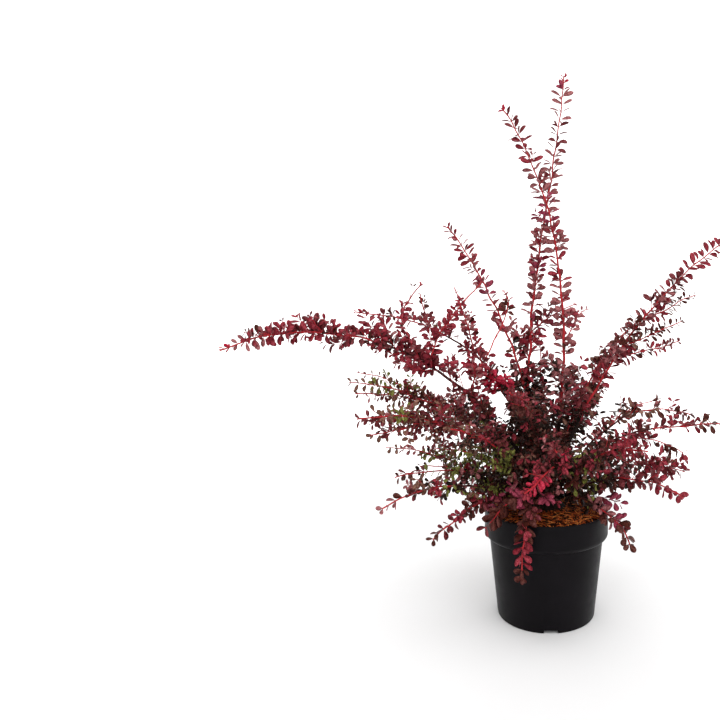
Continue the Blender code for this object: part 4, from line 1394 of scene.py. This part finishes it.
class BARBERRY_OT_leaves(bpy.types.Operator):
    """Make the leaves: rosettes along every shoot, joined by tint"""

    bl_idname = "barberry.leaves"
    bl_label = "Leaves"

    def execute(self, context):
        settings = context.scene.barberry_leaf
        groups = {tint: [] for tint in TINT_SLOTS}
        for number, shoot in enumerate(grow_plant(settings.twig_spacing)):
            if shoot.rank == "bough":
                continue
            for leaf in leaves_of(shoot, number, settings):
                groups[leaf.tint].append(leaf)
        for tint, leaves in groups.items():
            finish = leaf_skin(f"leaf_{tint}", tuple(getattr(settings, tint)))
            for start in range(0, len(leaves), LEAVES_PER_PIECE):
                name = f"leaves_{tint}" if start == 0 else f"leaves_{tint}_{start // LEAVES_PER_PIECE + 1}"
                piece = self.make_leaves(name, leaves[start:start + LEAVES_PER_PIECE])
                piece.data.materials.append(finish)
                seat(piece, TINT_SLOTS[tint], *FOLIAGE_NODES)
        return {"FINISHED"}

    def make_leaves(self, name, leaves):
        """Make one mesh of many leaves, each a thin closed blade with its own fold and curl."""
        draw = np.random.default_rng(len(leaves))
        count = len(leaves)
        root, along, face = (np.array([getattr(leaf, part) for leaf in leaves])
                             for part in ("root", "direction", "face"))
        length, breadth, roll = (np.array([getattr(leaf, part) for leaf in leaves])[:, None]
                                 for part in ("length", "broad", "roll"))
        across = np.cross(along, face)
        across /= np.linalg.norm(across, axis=1)[:, None] + 1e-9
        across = across * np.cos(roll) + np.cross(along, across) * np.sin(roll)
        upward = np.cross(across, along)
        fold = draw.uniform(*BLADE_FOLDS, (count, 1))
        curl = draw.uniform(*BLADE_CURLS, (count, 1))
        broad = draw.uniform(*BLADE_BREADTHS, (count, 1)) * breadth
        blocks = [root]
        rim = [1.0]
        sides = [0]
        for place, width in zip(BLADE_PLACES[1:-1], BLADE_WIDTHS[1:-1]):
            spine = root + along * length * place - upward * length * curl * place ** 2
            half = across * length * width * broad
            lifted = upward * length * width * fold
            depth = upward * length * BLADE_DEPTH
            blocks += [spine - half + lifted, spine + half + lifted, spine + depth, spine - depth]
            rim += [1.0, 1.0, 0.0, 0.0]
            sides += [-1, 1, 0, 0]
        blocks.append(root + along * length - upward * length * curl)
        rim.append(1.0)
        sides.append(0)
        vertices = np.stack(blocks, axis=1).reshape(-1, 3)
        form, under = self.blade_faces()
        faces = [tuple(start + corner for corner in face)
                 for start in range(0, len(vertices), len(blocks)) for face in form]
        mesh = bpy.data.meshes.new(name)
        mesh.from_pydata(vertices.tolist(), [], faces)
        # Painted light: each leaf is painted lighter or darker at random, mostly darker, and one half of its
        # fold lighter than the other, as if lit from one side
        whole = draw.uniform(0.0, 1.0, count) ** SHADE_BIAS
        lean = draw.uniform(-SHADE_LEAN, SHADE_LEAN, count)
        shade = np.stack([np.clip(whole + lean * half, 0.0, 1.0) for half in sides], axis=1)
        carry(mesh, "shade", "POINT", shade.ravel())
        carry(mesh, "rim", "POINT", np.tile(rim, count))
        carry(mesh, "under", "FACE", np.tile(under, count))
        mesh.shade_smooth()
        mesh.update()
        return piece_of(name, mesh)

    def blade_faces(self):
        """Return the faces of one leaf as corner numbers, and whether each is on the under side."""
        rows = len(BLADE_PLACES) - 2
        tip = rows * 4 + 1
        faces = [(0, 3, 1), (0, 2, 3), (0, 1, 4), (0, 4, 2)]
        for start in range(1, tip - 4, 4):
            left, right, top, low = range(start, start + 4)
            faces += [(left, top, top + 4, left + 4), (top, right, right + 4, top + 4),
                      (low, left, left + 4, low + 4), (right, low, low + 4, right + 4)]
        left, right, top, low = range(tip - 4, tip)
        faces += [(left, top, tip), (top, right, tip), (low, left, tip), (right, low, tip)]
        return faces, np.tile((0.0, 0.0, 1.0, 1.0), rows + 1)


class BARBERRY_OT_stage(bpy.types.Operator):
    """Make the pale floor, the bright backdrop, the soft light and the camera"""

    bl_idname = "barberry.stage"
    bl_label = "Stage"

    def execute(self, context):
        settings = context.scene.barberry_stage
        self.make_floor(settings)
        world = bpy.data.worlds.new("studio")
        context.scene.world = world
        world.use_nodes = True
        world.node_tree.nodes["Background"].inputs["Color"].default_value = WHITE
        world.node_tree.nodes["Background"].inputs["Strength"].default_value = settings.sky
        key = bpy.data.lights.new("key", "SUN")
        key.angle = settings.softness
        key.energy = settings.key
        lamp = link(bpy.data.objects.new("key", key))
        lamp.rotation_euler = Vector(KEY_DIRECTION).to_track_quat("Z", "Y").to_euler()
        data = bpy.data.cameras.new("camera")
        data.lens = settings.lens
        data.shift_x = settings.shift
        camera = link(bpy.data.objects.new("camera", data))
        camera.location = settings.camera
        camera.rotation_euler = (pi / 2 - settings.tilt, 0.0, 0.0)
        context.scene.camera = camera
        context.scene.view_settings.view_transform = "Standard"
        return {"FINISHED"}

    def make_floor(self, settings):
        """Make a floor that sweeps up into a bright backdrop behind the plant."""
        profile = list(FLOOR_PROFILE)
        for step in range(1, SWEEP_STEPS + 1):
            angle = pi / 2 * step / SWEEP_STEPS
            profile.append((SWEEP_FROM + SWEEP_RADIUS * sin(angle), SWEEP_RADIUS * (1 - cos(angle))))
        profile.append((SWEEP_FROM + SWEEP_RADIUS, BACKDROP_HEIGHT))
        vertices = [(side * FLOOR_HALF_WIDTH, depth, height) for depth, height in profile for side in (-1, 1)]
        faces = [(2 * k, 2 * k + 1, 2 * k + 3, 2 * k + 2) for k in range(len(profile) - 1)]
        floor = make_mesh("floor", vertices[:4], faces[:1])
        backdrop = make_mesh("backdrop", vertices, faces[1:])
        backdrop.data.shade_smooth()
        for piece, glow in ((floor, 0.0), (backdrop, settings.backlight)):
            finish = Shader(f"{piece.name}_paper", tuple(settings.floor), 0.9)
            finish.shader.inputs["Emission Color"].default_value = WHITE
            finish.shader.inputs["Emission Strength"].default_value = glow
            piece.data.materials.append(finish.material)


OPERATORS = (BARBERRY_OT_pot, BARBERRY_OT_mulch, BARBERRY_OT_wood, BARBERRY_OT_leaves, BARBERRY_OT_stage)


class BARBERRY_PT_panel(bpy.types.Panel):
    """The sidebar panel that lists the pieces and their settings"""

    bl_idname = "BARBERRY_PT_panel"
    bl_label = "Potted Barberry"
    bl_space_type = "VIEW_3D"
    bl_region_type = "UI"
    bl_category = "Barberry"

    def draw(self, context):
        for (key, group), operator in zip(SETTINGS.items(), OPERATORS):
            box = self.layout.box()
            box.operator(operator.bl_idname)
            settings = getattr(context.scene, key)
            for field in group.__annotations__:
                box.prop(settings, field)


def register():
    """Register the settings, the operators and the panel."""
    for key, group in SETTINGS.items():
        bpy.utils.register_class(group)
        setattr(bpy.types.Scene, key, PointerProperty(type=group))
    for operator in OPERATORS:
        bpy.utils.register_class(operator)
    bpy.utils.register_class(BARBERRY_PT_panel)


def unregister():
    """Take the panel, the operators and the settings away again."""
    bpy.utils.unregister_class(BARBERRY_PT_panel)
    for operator in reversed(OPERATORS):
        bpy.utils.unregister_class(operator)
    for key, group in SETTINGS.items():
        delattr(bpy.types.Scene, key)
        bpy.utils.unregister_class(group)


def main():
    """Build every piece and the stage."""
    register()
    bpy.ops.barberry.pot()
    bpy.ops.barberry.mulch()
    bpy.ops.barberry.wood()
    bpy.ops.barberry.leaves()
    bpy.ops.barberry.stage()


if __name__ == "__main__":
    main()
